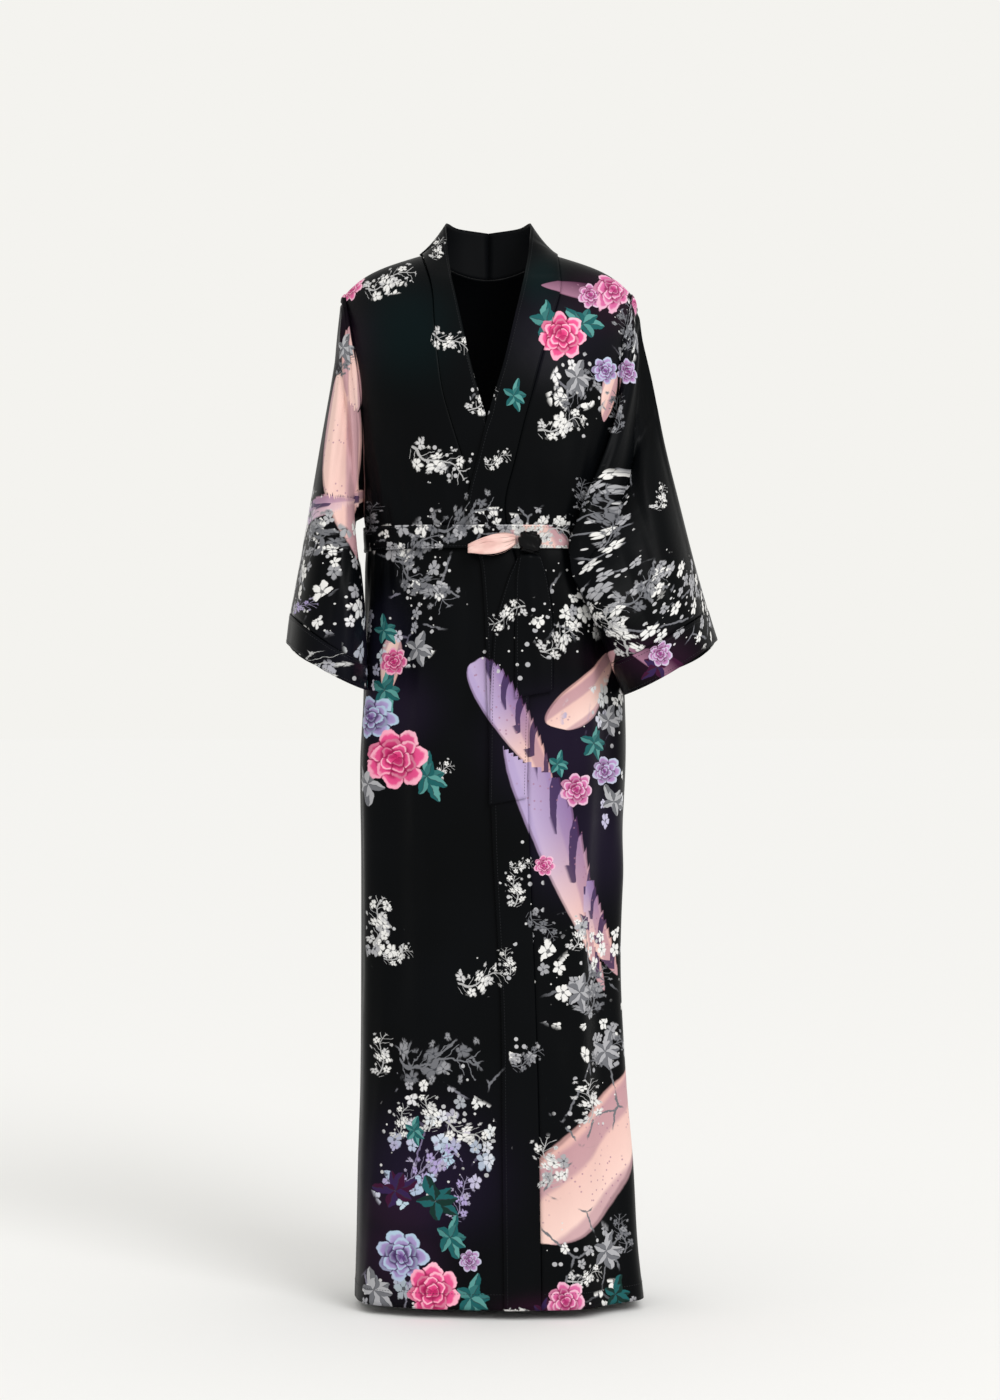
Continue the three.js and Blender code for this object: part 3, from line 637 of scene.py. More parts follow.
def length_to(level):
    """The length of cloth from the shoulder line down to a level."""
    rolled = ROLL_LENGTH * np.arccos(np.clip(1 + level / ROLL_DROP, 0, 1)) / (math.pi / 2)
    return rolled + np.maximum(0, -ROLL_DROP - level)


def fold_height(turn, level):
    """The height of the folds and creases at a place. The belt presses them flat and gathers beside it."""
    degrees = np.degrees(turn)
    total = np.zeros(np.broadcast(degrees, level).shape)
    for top_turn, end_turn, top, bottom, width, height in BODY_FOLDS + CREASES:
        down = np.clip((top - level) / (top - bottom), 0, 1)
        away = degrees - blend(top_turn, end_turn, down)
        away = away - 360 * np.round(away / 360)
        fade = 1 - smooth(0, FOLD_FADE_OUT, bottom - level) if bottom > HEM_LEVEL else 1
        total = total + height * np.exp(-((away / width) ** 2)) * smooth(0, FOLD_FADE_IN, top - level) * fade
    from_belt = np.abs(level - BELT_LEVEL)
    gather = np.sin(turn * 31 + 2 * np.sin(turn * 7)) + 0.6 * np.sin(turn * 53 + 3 * np.sin(turn * 5 + 1))
    total = total * (1 - BELT_FLATTENS * np.exp(-((from_belt / BELT_PINCH) ** 2)))
    return total + 0.75 * gather * smooth(12, 26, from_belt) * (1 - smooth(30, 105, from_belt))


def bare_point(turn, length):
    """A point of the body's cloth. The turn goes round from the centre front, to +X first."""
    level, out = roll(length)
    right, left, front, back = read_table(BODY_SECTIONS, level)
    x = (right + left) / 2 + (left - right) / 2 * signed_power(np.sin(turn), 2 / ROUNDNESS)
    c = np.cos(turn)
    y = -np.where(c > 0, front, back) * signed_power(c, 2 / ROUNDNESS) * out
    return np.stack([x, y, level + shoulder_height(x) * slope_left(level)], -1)


def body_point(turn, length, off=0.0):
    turn, length, off = np.broadcast_arrays(*(np.asarray(v, float) for v in (turn, length, off)))
    across = bare_point(turn + 0.01, length) - bare_point(turn - 0.01, length)
    start = np.maximum(0, length - 1)
    down = bare_point(turn, start + 2) - bare_point(turn, start)
    normal = unit(np.cross(down, across))
    return bare_point(turn, length) + normal * (fold_height(turn, roll(length)[0]) + off)[..., None]


def turn_for(x, level):
    """The turn round the body that has a place across it, on the front half."""
    right, left, _, _ = read_table(BODY_SECTIONS, level)
    share = np.clip((x - (right + left) / 2) / ((left - right) / 2), -1, 1)
    return np.arcsin(signed_power(share, ROUNDNESS / 2))


def level_of(x, z):
    """The level whose sloping line passes through a place."""
    high, low = np.zeros(np.shape(z)), np.full(np.shape(z), float(HEM_LEVEL))
    for _ in range(LEVEL_HALVINGS):
        middle = (high + low) / 2
        above = middle + shoulder_height(x) * slope_left(middle) > z
        high, low = np.where(above, middle, high), np.where(above, low, middle)
    return (high + low) / 2


def front_point(x, z, off=0.0):
    """The point of the front that is seen at a place, some way off the cloth."""
    level = level_of(x, z)
    return body_point(turn_for(x, level), length_to(level), off)


def wrap_lift(x, z):
    """How far the upper front lies out over the under one."""
    return WRAP_LIFT * smooth(*WRAP_TOP, z) * smooth(*WRAP_LEFT, x) * smooth(*WRAP_RIGHT, x)


def edge_turn(level):
    """The turn of a body panel's outer edge: the armhole, and the side seam under it."""
    seam = math.pi / 2 - SEWN_GAP / 2 / HALF_DEPTH
    edge = np.minimum(seam, np.radians(read_table(ARMHOLE, level)[0]))
    return np.where(level <= UNDERARM_LEVEL, seam, edge)


def armhole_level(turn):
    """The level that a turn round the armhole comes to."""
    return UNDERARM_LEVEL * (1 - np.cos(turn)) / 2


def seam_turn(table, column, level, gap):
    """The turn of a band's seam or free edge on the body."""
    x = read_table(table, level)[column]
    for _ in range(6):
        z = level + shoulder_height(x) * slope_left(level)
        x = read_table(table, z)[column] + gap
    return turn_for(x, level)


def back_neck(x):
    """How deep the back's neck edge is scooped."""
    share = (x - BODY_CENTRE) / NECK_HALF_WIDTH
    return BACK_NECK_DEPTH * np.maximum(0, 1 - share * share) ** BACK_NECK_POWER


def run_along(path):
    """The distance along a path of points to each of them."""
    return np.concatenate([[0], np.cumsum(np.linalg.norm(np.diff(path, axis=0), axis=1))])


# Distance round the body from the centre front, on its section over the thighs.
ROUND_TURNS = np.linspace(-1.5 * math.pi, 1.5 * math.pi, THIGH_POINTS)
ROUND_LENGTHS = run_along(bare_point(ROUND_TURNS, length_to(np.full(THIGH_POINTS, float(THIGH_LEVEL)))))
ROUND_LENGTHS = ROUND_LENGTHS - ROUND_LENGTHS[THIGH_POINTS // 2]


def round_length(turn):
    return np.interp(turn, ROUND_TURNS, ROUND_LENGTHS)


def wall_normals(grid, closed):
    """The outward direction at each point of a grid."""
    if closed:
        before, after = np.roll(grid, 1, 1), np.roll(grid, -1, 1)
    else:
        before = np.concatenate([grid[:, :1], grid[:, :-1]], 1)
        after = np.concatenate([grid[:, 1:], grid[:, -1:]], 1)
    above = np.concatenate([grid[:1], grid[:-1]])
    below = np.concatenate([grid[1:], grid[-1:]])
    across = unit(grid - before) + unit(after - grid)
    down = unit(grid - above) + unit(below - grid)
    return unit(np.cross(down, across))


def rotation(degrees):
    """Turns directions given anticlockwise from +x into a motif's own along and across, as rows of a matrix."""
    c, s = np.cos(np.radians(degrees)), np.sin(np.radians(degrees))
    return np.array([[c, s], [-s, c]])


def seat_of(outer, normals, uv, x, z, behind, reach):
    """Where a place of the print comes to lie on a piece: its cloth coordinates, and how the view's two
    directions run in them. None where the piece is beyond its reach or doesn't face that way."""
    facing = normals[..., 1] > FACING if behind else normals[..., 1] < -FACING
    if not facing.any():
        return None
    mirror = -1 if behind else 1
    seen = np.stack([outer[..., 0] * mirror, outer[..., 2]], -1)
    place = np.array([x * mirror, z])
    far = np.where(facing, np.sum((seen - place) ** 2, -1), FAR)
    i, j = np.unravel_index(np.argmin(far), far.shape)
    if far[i, j] > reach**2:
        return None
    i, j = min(max(i, 1), seen.shape[0] - 2), min(max(j, 1), seen.shape[1] - 2)
    by_row = np.stack([seen[i + 1, j] - seen[i - 1, j], seen[i, j + 1] - seen[i, j - 1]], 1)
    cloth = np.stack([uv[i + 1, j] - uv[i - 1, j], uv[i, j + 1] - uv[i, j - 1]], 1)
    u, stretch, v = np.linalg.svd(cloth @ np.linalg.pinv(by_row))
    turn = u @ np.diag(np.clip(stretch, LEAST_STRETCH, MOST_STRETCH)) @ v
    return uv[i, j] + turn @ (place - seen[i, j]), np.linalg.inv(turn).T


def nearest_motif(table, sized, corners, outer, normals, uv):
    """For each face, its corners' places in the nearest motif of a table: along, across and tone."""
    result = np.full((*corners.shape[:2], 3), NO_MOTIF)
    best = np.full(len(corners), FAR)
    for row in table:
        x, z, along, across = row[0], row[1], row[2], row[3] if sized else row[2]
        degrees, tone, behind = row[-3:]
        seat = seat_of(outer, normals, uv, x, z, behind, MOTIF_REACH * max(along, across))
        if seat is None:
            continue
        middle, turn = seat
        local = (corners - middle) @ turn @ rotation(degrees).T / np.array([along, across])
        far = np.sum(local.mean(1) ** 2, -1)
        nearer = far < best
        best = np.where(nearer, far, best)
        result[nearer, :, :2] = local[nearer]
        result[nearer, :, 2] = tone
    return result


def spread_of(table, outer, normals, uv):
    """The sum of a table's soft patches at each point of a piece, for its three shares."""
    total = np.zeros((*uv.shape[:2], 3))
    for x, z, reach_x, reach_z, *shares, behind in table:
        seat = seat_of(outer, normals, uv, x, z, behind, MOTIF_REACH * max(reach_x, reach_z))
        if seat is None:
            continue
        middle, turn = seat
        local = (uv - middle) @ turn / np.array([reach_x, reach_z])
        weight = np.exp(-(np.sum(local**2, -1) ** 1.4))
        total = np.maximum(total, weight[..., None] * np.array(shares))
    return total


# Which of the satins a face takes, from its place in the list of them, and the share of scattered print that
# calls for the blossoms.
WRONG_SIDE, BLOSSOMS, WHOLE_PRINT = 1, 2, 3
LEAST_SHARE = 0.08
MOTIFS = {
    # table, whether its width is given too, the satin that draws it
    "peony": (PEONIES, False, WHOLE_PRINT),
    "rose": (ROSES, False, WHOLE_PRINT),
    "leaves": (LEAVES, False, BLOSSOMS),
    "spray": (SPRAYS, False, BLOSSOMS),
    "plume": (PLUMES, True, WHOLE_PRINT),
}


def lay_cloth(mesh, corner_uv):
    mesh.uv_layers.new(name="Cloth").uv.foreach_set("vector", corner_uv.astype(np.float32).ravel())


def store(mesh, label, domain, values):
    layer = mesh.attributes.new(label, "FLOAT_VECTOR", domain)
    layer.data.foreach_set("vector", values.astype(np.float32).ravel())


def on_robe(name, mesh, slot, node=None):
    """A finished mesh as a piece of the robe, which moves as one body."""
    piece = bpy.data.objects.new(name, mesh)
    bpy.context.scene.collection.objects.link(piece)
    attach(piece, "root")
    if node:
        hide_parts(node)
    return piece


def cloth_faces(rows, columns, closed):
    """The corners of the outer wall's faces, the inner wall's and each rim's: side, row and column."""
    last = columns if closed else columns - 1
    i, j = (m.ravel() for m in np.meshgrid(np.arange(rows - 1), np.arange(last), indexing="ij"))
    r, c = np.arange(rows - 1), np.arange(last)
    first_r, first_c, last_r, last_c = 0 * r, 0 * c, 0 * r + last, 0 * c + rows - 1
    walls = [
        [(1, i, j), (1, i + 1, j), (1, i + 1, j + 1), (1, i, j + 1)],
        [(0, i, j), (0, i, j + 1), (0, i + 1, j + 1), (0, i + 1, j)],
        [(0, first_c, c), (1, first_c, c), (1, first_c, c + 1), (0, first_c, c + 1)],
        [(1, last_c, c), (0, last_c, c), (0, last_c, c + 1), (1, last_c, c + 1)],
    ]
    if not closed:
        walls += [
            [(1, r, first_r), (0, r, first_r), (0, r + 1, first_r), (1, r + 1, first_r)],
            [(0, r, last_r), (1, r, last_r), (1, r + 1, last_r), (0, r + 1, last_r)],
        ]
    return walls


def lay_print(mesh, faces, corner_uv, outer, normals, uv):
    """Stores each corner's place in the print, and gives which of the satins each face takes for it."""
    detail = np.zeros(len(faces), int)
    for kind, (table, sized, satin_kind) in MOTIFS.items():
        local = nearest_motif(table, sized, corner_uv, outer, normals, uv)
        store(mesh, kind, "CORNER", local)
        near = (np.linalg.norm(local[..., :2], axis=-1) < MOTIF_REACH).any(1)
        detail = np.maximum(detail, near * satin_kind)
    for label, table in (("scatter", SCATTER), ("tint_and_sheen", TINTS_AND_SHEEN)):
        share = spread_of(table, outer, normals, uv).reshape(-1, 3)
        both_walls = np.concatenate([share, share])
        store(mesh, label, "POINT", both_walls)
        if label == "scatter":
            strewn = both_walls.max(1)[faces].max(1) > LEAST_SHARE
            detail = np.maximum(detail, strewn * BLOSSOMS)
    return detail


def cloth(name, node, grid, uv, thickness, slot, finish=None, closed=False, sheet=None, hem=0):
    """Cloth over a grid of points, replacing a node: an outer and an inner wall and the rims between them."""
    rows, columns = grid.shape[:2]
    normals = wall_normals(grid, closed)
    thick = np.full((rows, columns), float(thickness))
    if hem:
        from_end = uv[-1:, :columns, 1] - uv[:, :columns, 1]
        thick = thick + HEM_STEP * (1 - smooth(hem - 1, hem + 4, from_end))
    outer = grid + normals * thick[..., None]
    points = np.concatenate([grid.reshape(-1, 3), outer.reshape(-1, 3)]) * MM
    faces, corner_uv = [], []
    for wall in cloth_faces(rows, columns, closed):
        faces.append(np.stack([s * rows * columns + a * columns + b % columns for s, a, b in wall], 1))
        corner_uv.append(np.stack([uv[a, b] for _, a, b in wall], 1))
    outside, inside = len(faces[0]), len(faces[1])
    faces, corner_uv = np.concatenate(faces), np.concatenate(corner_uv)
    mesh = bpy.data.meshes.new(name)
    mesh.from_pydata(points.tolist(), [], faces.tolist())
    mesh.polygons.foreach_set("use_smooth", np.arange(len(faces)) < outside + inside)
    lay_cloth(mesh, corner_uv * MM)
    detail = lay_print(mesh, faces, corner_uv, outer, normals, uv[:, :columns])
    detail[outside : outside + inside] = WRONG_SIDE
    if finish:
        detail = np.where(detail == WRONG_SIDE, WRONG_SIDE, 0)
    for material in [finish, SATINS[WRONG_SIDE]] if finish else SATINS:
        mesh.materials.append(material)
    mesh.polygons.foreach_set("material_index", detail)
    mesh.update()
    piece = on_robe(name, mesh, slot, node)
    if sheet:
        flat, area, held, rests_on = sheet
        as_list(rests_on)
    return outer, normals


def spread(low, high, step=CLOTH_STEP):
    """Even steps from low to high, of about the given length."""
    count = max(4, round(abs(high - low) / step))
    return np.linspace(low, high, count + 1)


BODY_LENGTHS = spread(0, float(length_to(np.array(float(HEM_LEVEL)))))


def stack(*columns):
    return np.stack(np.broadcast_arrays(*columns), -1)


def overlap(turn, length, side):
    """The bare body's points, and how far the front on that side lies out over the other one."""
    bare = bare_point(turn, length + 0 * turn)
    return bare, wrap_lift(bare[..., 0], bare[..., 2]) if side > 0 else 0.0


def front_panel(table, side, columns):
    """A front's grid and cloth coordinates."""
    length = BODY_LENGTHS[:, None]
    level = roll(length)[0]
    inside = seam_turn(table, 1, level, side * SEWN_GAP)
    turn = blend(inside, side * edge_turn(level), np.linspace(0, 1, columns)[None])
    if side < 0:
        turn = turn[:, ::-1]
    lift = overlap(turn, length, side)[1]
    return body_point(turn, length, lift), stack(round_length(turn), length)


def back_panel(columns):
    """The back's grid and cloth coordinates, from the scooped neck edge down."""
    length = BODY_LENGTHS[:, None]
    edge = edge_turn(roll(length)[0])
    turn = blend(math.pi - edge, math.pi + edge, np.linspace(0, 1, columns)[None])
    left = 1 - np.clip(length / ROLL_LENGTH, 0, 1)
    down = length + back_neck(bare_point(turn, 0 * turn)[..., 0]) * left * left
    return body_point(turn, down), stack(round_length(turn), down)


def neck_foot(table, side, along, off):
    """The foot of the neck stand: over the shoulder to half its way, then round the back neck."""
    if along <= 0.5:
        length = length_to(armhole_level(math.pi * 2 / RING_POINTS * STAND_ROW * (1 - along / 0.5)))
        turn = seam_turn(table, 1, roll(length)[0], 0)
        return body_point(turn, length, off)
    x = BODY_CENTRE + side * NECK_HALF_WIDTH * math.cos((along - 0.5) * math.pi)
    return body_point(math.pi - turn_for(np.array(x), np.array(0.0)), back_neck(x) + SEAM_GAP, off)


def band(table, side, columns):
    """A band from the hem up its front and round the neck to the centre of the back."""
    share = np.linspace(0, 1, columns)
    start_length = float(length_to(armhole_level(math.pi * 2 / RING_POINTS * STAND_ROW)))
    length = spread(float(BODY_LENGTHS[-1]), start_length)[:, None]
    level = roll(length)[0]
    turn = blend(seam_turn(table, 1, level, 0), seam_turn(table, 0, level, 0), share[None])
    bare, lift = overlap(turn, length, side)
    foot = CLOTH + 2 * SEAM_GAP
    grid = body_point(turn, length, lift + foot * (1 - share) * smooth(*BAND_OVER_EDGE, bare[..., 2]))
    uv = stack(round_length(turn), length)
    start = grid[-1, -1]
    stand = [(0, side * (start[0] - BODY_CENTRE), start[1], start[2]), *NECK_STAND]
    neck_rows, neck_uv = [], []
    for along in spread(0, 1, 1 / STAND_STEPS)[1:]:
        across, to_back, height = read_table(stand, along)
        free = np.array([BODY_CENTRE + side * across, to_back, height])
        seated = neck_foot(table, side, along, foot)
        aside = side * BAND_BULGE * (1 - smooth(0.72, 1, along))
        bulge = np.array([aside, -BAND_BULGE if along < 0.5 else BAND_BULGE, 0.0])
        part = (share * (1 - share) * smooth(0, 0.3, along))[:, None]
        neck_rows.append(blend(seated, free, share[:, None]) + bulge * part)
        neck_uv.append(stack(uv[-1, :, 0], start_length - STAND_RUN * along))
    grid = np.concatenate([grid, neck_rows])[::-1]
    uv = np.concatenate([uv, neck_uv])[::-1]
    if side > 0:
        grid, uv = grid[:, ::-1], uv[:, ::-1]
    return grid, uv


def clear_of_body(point, turn, ring):
    """A sleeve's points, moved off the body where they lie in it. Over the open armhole they move less."""
    x, y, z = np.moveaxis(point, -1, 0)
    level = level_of(x, z)
    right, left, front, back = read_table(BODY_SECTIONS, level)
    centre = (right + left) / 2
    over_wrap = np.where(y < 0, wrap_lift(x - WRAP_LIFT, level), 0)
    over_belt = BELT_ROOM * np.exp(-(((level - BELT_LEVEL) / BELT_ROOM_REACH) ** 4))
    over_folds = FOLD_ROOM * smooth(-ROLL_DROP, UNDERARM_LEVEL, level)
    layer = blend(INNER_ROOM, FRONT_ROOM, smooth(1, 1.5, ring))
    over_back = np.where(turn < math.pi, layer * smooth(math.pi, math.pi - FRONT_ROOM_TURN, turn), 0)
    room = SLEEVE_CLEARANCE + over_folds + over_belt + over_wrap + over_back
    clearance = blend(SEAM_SEAT, 2 * CLOTH + 2 * SEAM_GAP, min(1, 2 * ring)) + min(1, 3 * ring) * room
    reach_x = (left - right) / 2 + clearance
    reach_y = np.where(y < 0, front, back) * roll(length_to(level))[1] + clearance
    value = np.abs((x - centre) / reach_x) ** ROUNDNESS + np.abs(y / reach_y) ** ROUNDNESS
    held = blend(TOP_HOLD, 1, smooth(*TOP_TURN, np.minimum(turn, 2 * math.pi - turn)))
    scale = np.where(value >= 1, 1, blend(1, np.maximum(value, 1e-9) ** (-1 / ROUNDNESS), held))
    return stack(centre + (x - centre) * scale, y * scale, z)


def ring_point(row, turn, swell, ring):
    """A sleeve's points round one ring, from the top over the front to the fold underneath and back."""
    top_x, top_z, top_y, under_x, under_z, under_y, front_share = row
    under = (1 - np.cos(turn)) / 2
    in_front = np.sin(turn) > 0
    side = np.where(in_front, -1, 1)
    share = np.where(in_front, front_share, 1 - front_share)
    reach = np.abs(np.sin(turn))
    settled = smooth(*BACK_SETTLES, ring)
    forward = np.where(in_front, under, under ** blend(*BACK_LAG, settled))
    down = np.where(in_front, under, 1 - (1 - under) ** blend(*BACK_LEAD, settled))
    degrees = np.degrees(turn)
    fold = 0
    for middle, first, last, width, height in SLEEVE_FOLDS:
        fade = smooth(first - 1, first + 1, ring) * smooth(last + 2, last, ring)
        fold = fold + height * np.exp(-(((degrees - middle) / width) ** 2)) * fade
    for first_at, last_at, first, last, width, height in SLEEVE_CREASES:
        middle = blend(first_at, last_at, np.clip((ring - first) / (last - first), 0, 1))
        ends = smooth(last + 0.8, last - 0.4, ring) if last < LAST_RING else 1
        fade = smooth(first - 0.6, first + 0.6, ring) * ends
        fold = fold + height * np.exp(-(((degrees - middle) / width) ** 2)) * fade
    return stack(
        blend(top_x, under_x, forward),
        blend(top_y, under_y, forward) + side * (2 * swell * share * reach**SLEEVE_ROUNDNESS + fold),
        blend(top_z, under_z, down) - HEM_DROOP * reach * reach,
    )


def girth_of(points):
    """The length of a closed ring of points."""
    return np.linalg.norm(points - np.roll(points, -1, 0), axis=1).sum()


def sleeve_ring(table, side, ring, turn, armhole_girth):
    """One ring, swollen until it is as long as its cloth. Ring 0 is the armhole seam."""
    level = armhole_level(turn)
    edge = edge_turn(level)
    edge = np.where(turn <= math.pi, edge, math.pi - edge)
    armhole = body_point(side * edge, length_to(level), SEAM_SEAT)
    if ring <= 0:
        return armhole
    if ring < 1:
        after = sleeve_ring(table, side, 1, turn, armhole_girth)
        return clear_of_body(blend(armhole, after, ring), turn, ring)
    row = read_table(table, ring)
    girth = blend(armhole_girth, CUFF_GIRTH, smooth(0, 7, ring))
    low, high = 0.0, 200.0
    for _ in range(SWELL_HALVINGS):
        swell = (low + high) / 2
        if girth_of(ring_point(row, turn, swell, ring)) > girth:
            high = swell
        else:
            low = swell
    return clear_of_body(ring_point(row, turn, low, ring), turn, ring)


def sleeve_rings(table, side, armhole_girth, rings, count):
    """A sleeve's grid of rings and its cloth coordinates, measured round its axis and down."""
    turn = np.linspace(0, 2 * math.pi, count, endpoint=False)
    grid = np.array([sleeve_ring(table, side, ring, turn, armhole_girth) for ring in rings])
    if side > 0:
        grid = grid[:, ::-1]
    x, y, z = np.moveaxis(np.concatenate([grid, grid[:, :1]], 1), -1, 0)
    down = np.clip((SLEEVE_TOP - z) / SLEEVE_FALL, 0, 1)
    heading = np.unwrap(np.arctan2(x - side * blend(*SLEEVE_AXIS, down), SLEEVE_AXIS_DEPTH - y), axis=1)
    return grid, stack(blend(*SLEEVE_RADIUS[side], down) * heading, -z)


def belt_off(point):
    """How far off the body's cloth the belt lies, over one layer or over two."""
    x, y, z = np.moveaxis(point, -1, 0)
    wrapped = np.where(y < 0, wrap_lift(x, z) / WRAP_LIFT, 0)
    return CLOTH + BELT_GAP + wrapped * (WRAP_LIFT + DOUBLE_CLOTH - CLOTH)


def sash():
    """The wrap of the belt, with slight rucks."""
    turn = np.linspace(-math.pi, math.pi, 181)[1:]
    level = np.linspace(BELT_LEVEL + BELT_HEIGHT / 2, BELT_LEVEL - BELT_HEIGHT / 2, 13)[:, None]
    length = length_to(level)
    off = belt_off(bare_point(turn[None] + 0 * length, length + 0 * turn[None]))
    height = (level - BELT_LEVEL) / BELT_HEIGHT
    ruck = 0.5 * np.sin(turn * 9 + 5 * height + 2 * np.sin(turn * 3)) * np.cos(math.pi * height)
    grid = body_point(turn[None], length, off + 0.5 + ruck)
    closing = np.append(turn, turn[0] + 2 * math.pi)
    return grid, stack(round_length(closing)[None], -level)


def loop():
    """The one loop of the bow, gathered where it goes into the knot."""
    turn = np.linspace(0, 2 * math.pi, 73)[1:][None]
    share = np.linspace(0.5, -0.5, 13)[:, None]
    out = (1 + np.cos(turn)) / 2
    x = LOOP["right_x"] - LOOP["length"] * out
    z = blend(LOOP["right_z"], LOOP["left_z"], out)
    height = blend(LOOP["right_height"], LOOP["height"], np.sin(math.pi * out**0.75))
    off = LOOP["off"] + LOOP["depth"] * (0.5 + 0.5 * np.sin(turn)) * (0.55 + 0.45 * out)
    pleat = 0.7 * np.sin(share * 11 + 0.6) * (1 - out) ** 0.7 + 0.35 * np.sin(share * 19 + out * 3)
    z = z + share * height
    grid = front_point(x + 0 * z, z, off + pleat)
    closing = np.append(turn[0], turn[0, 0] + 2 * math.pi)[None]
    return grid, stack(closing * LOOP["length"] / math.pi, -share * LOOP["height"])


def tail(table, seed):
    """A hanging end of the belt, ruffled at the knot."""
    top, bottom = table[0][0], table[-1][0]
    down = spread(0, 1, 5 / (top - bottom))[:, None]
    across = np.linspace(-0.5, 0.5, 17)[None]
    z = blend(top, bottom + TAIL_SLANT * across, down)
    middle, width, off = read_table(table, z)
    ruffle = TAIL_RUFFLE * np.cos(across * 2 * math.pi) * (1 - smooth(0, 0.5, down))
    wave = 0.7 * np.sin(across * 8 + down * 5 + seed) * smooth(0.04, 0.3, down) * (1 - 0.4 * down)
    x = middle + across * width
    return front_point(x, z, off + ruffle + wave + 0.4), stack(across * 46 + middle, -z)


class Part:
    """One output of a finish's nodes. Arithmetic on it adds Math nodes."""

    def __init__(self, finish, socket):
        self.finish, self.socket = finish, socket

    def math(self, operation, *others):
        values = dict(enumerate((self, *others)))
        return self.finish.node("ShaderNodeMath", {"operation": operation}, values)

    def __add__(self, other):
        return self.math("ADD", other)

    def __sub__(self, other):
        return self.math("SUBTRACT", other)

    def __rsub__(self, other):
        return (self * -1) + other

    def __mul__(self, other):
        return self.math("MULTIPLY", other)

    def __truediv__(self, other):
        return self.math("DIVIDE", other)

    __radd__, __rmul__ = __add__, __mul__

    def to(self, power):
        return self.math("POWER", power)

    def least(self, other):
        return self.math("MINIMUM", other)

    def most(self, other):
        return self.math("MAXIMUM", other)

    def size(self):
        return self.math("ABSOLUTE")

    def sin(self):
        return self.math("SINE")

    def part(self):
        return self.math("FRACT")

    def step(self):
        return self.math("FLOOR")

    def under(self, limit, edge=0.02):
        """1 below a limit and 0 above it, with a soft edge."""
        return self.finish.node(
            "ShaderNodeMapRange", {"interpolation_type": "SMOOTHSTEP"},
            {0: self - limit, 1: -edge, 2: edge, 3: 1.0, 4: 0.0},
        )

    def over(self, limit, edge=0.02):
        return 1 - self.under(limit, edge)

    def chance(self, seed):
        """A number from 0 to 1 that looks unrelated to its neighbours'."""
        return ((self * 12.9898 + seed).sin() * 43758.5453).part()


class Finish:
    """A material in the making. node() adds every node and wraps what comes out of it."""

    def __init__(self, name):
        self.material = bpy.data.materials.new(name)
        self.material.use_nodes = True
        self.tree = self.material.node_tree
        self.tree.nodes.clear()

    def node(self, kind, settings=None, values=None, out=0):
        made = self.tree.nodes.new(kind)
        for key, value in (settings or {}).items():
            setattr(made, key, value)
        for key, value in (values or {}).items():
            if isinstance(value, Part):
                self.tree.links.new(value.socket, made.inputs[key])
            else:
                made.inputs[key].default_value = value
        self.last = made
        return Part(self, made.outputs[out]) if made.outputs else None

    def other(self, out):
        return Part(self, self.last.outputs[out])

    def mix(self, share, under, over):
        return self.node("ShaderNodeMix", {"data_type": "RGBA"}, {0: share, 6: under, 7: over}, 2)

    def vector(self, operation, a, b, out=0):
        return self.node("ShaderNodeVectorMath", {"operation": operation}, {0: a, 1: b}, out)

    def scaled(self, vector, factor):
        return self.node("ShaderNodeVectorMath", {"operation": "SCALE"}, {0: vector, "Scale": factor})

    def noise(self, vector, scale, detail=2.0, out=0):
        return self.node("ShaderNodeTexNoise", {}, {"Vector": vector, "Scale": scale, "Detail": detail}, out)

    def cells(self, vector, scale, randomness=1.0, feature="F1"):
        values = {"Vector": vector, "Scale": scale, "Randomness": randomness}
        return self.node("ShaderNodeTexVoronoi", {"voronoi_dimensions": "2D", "feature": feature}, values)

    def stored(self, label):
        """The three values that cloth() has stored under a label."""
        return self.split(self.node("ShaderNodeAttribute", {"attribute_name": label}, {}, 1))

    def bumped(self, height, strength=0.5, distance=1.0):
        return self.node("ShaderNodeBump", {}, {"Strength": strength, "Distance": distance, "Height": height})

    def split(self, vector):
        self.node("ShaderNodeSeparateXYZ", {}, {0: vector})
        return self.other(0), self.other(1), self.other(2)

    def done(self, **values):
        shader = self.node("ShaderNodeBsdfPrincipled", {}, {k.replace("_", " "): v for k, v in values.items()})
        self.node("ShaderNodeOutputMaterial", {}, {0: shader})
        return self.material


def ink(code):
    """A colour from its six hexadecimal digits, as linear light."""
    parts = [int(code[i : i + 2], 16) / 255 for i in (0, 2, 4)]
    return (*[c / 12.92 if c <= 0.04045 else ((c + 0.055) / 1.055) ** 2.4 for c in parts], 1.0)


BLACK, PAINTED_SHEEN_TEAL = ink("050607"), ink("06191B")
WHITE, PALE_GREY, GREY, DARK_GREY = ink("E0DFDD"), ink("A6A6AA"), ink("6C6D72"), ink("2E3036")
LAVENDER, PALE_BLUE, PURPLE, DEEP_PURPLE = ink("A99BC8"), ink("A9C4D6"), ink("6E4F8C"), ink("33224A")
PINK, HOT_PINK, PALE_PINK, MAGENTA = ink("E2588F"), ink("C9306C"), ink("F6B9CB"), ink("8C1246")
TEAL, LIGHT_TEAL, DARK_GREEN = ink("1F5A5C"), ink("5E9C97"), ink("16302B")
BLUSH, PALE_BLUSH, MAUVE, PLUM = ink("D6A9A2"), ink("EAC9C0"), ink("9A6F86"), ink("3B1430")


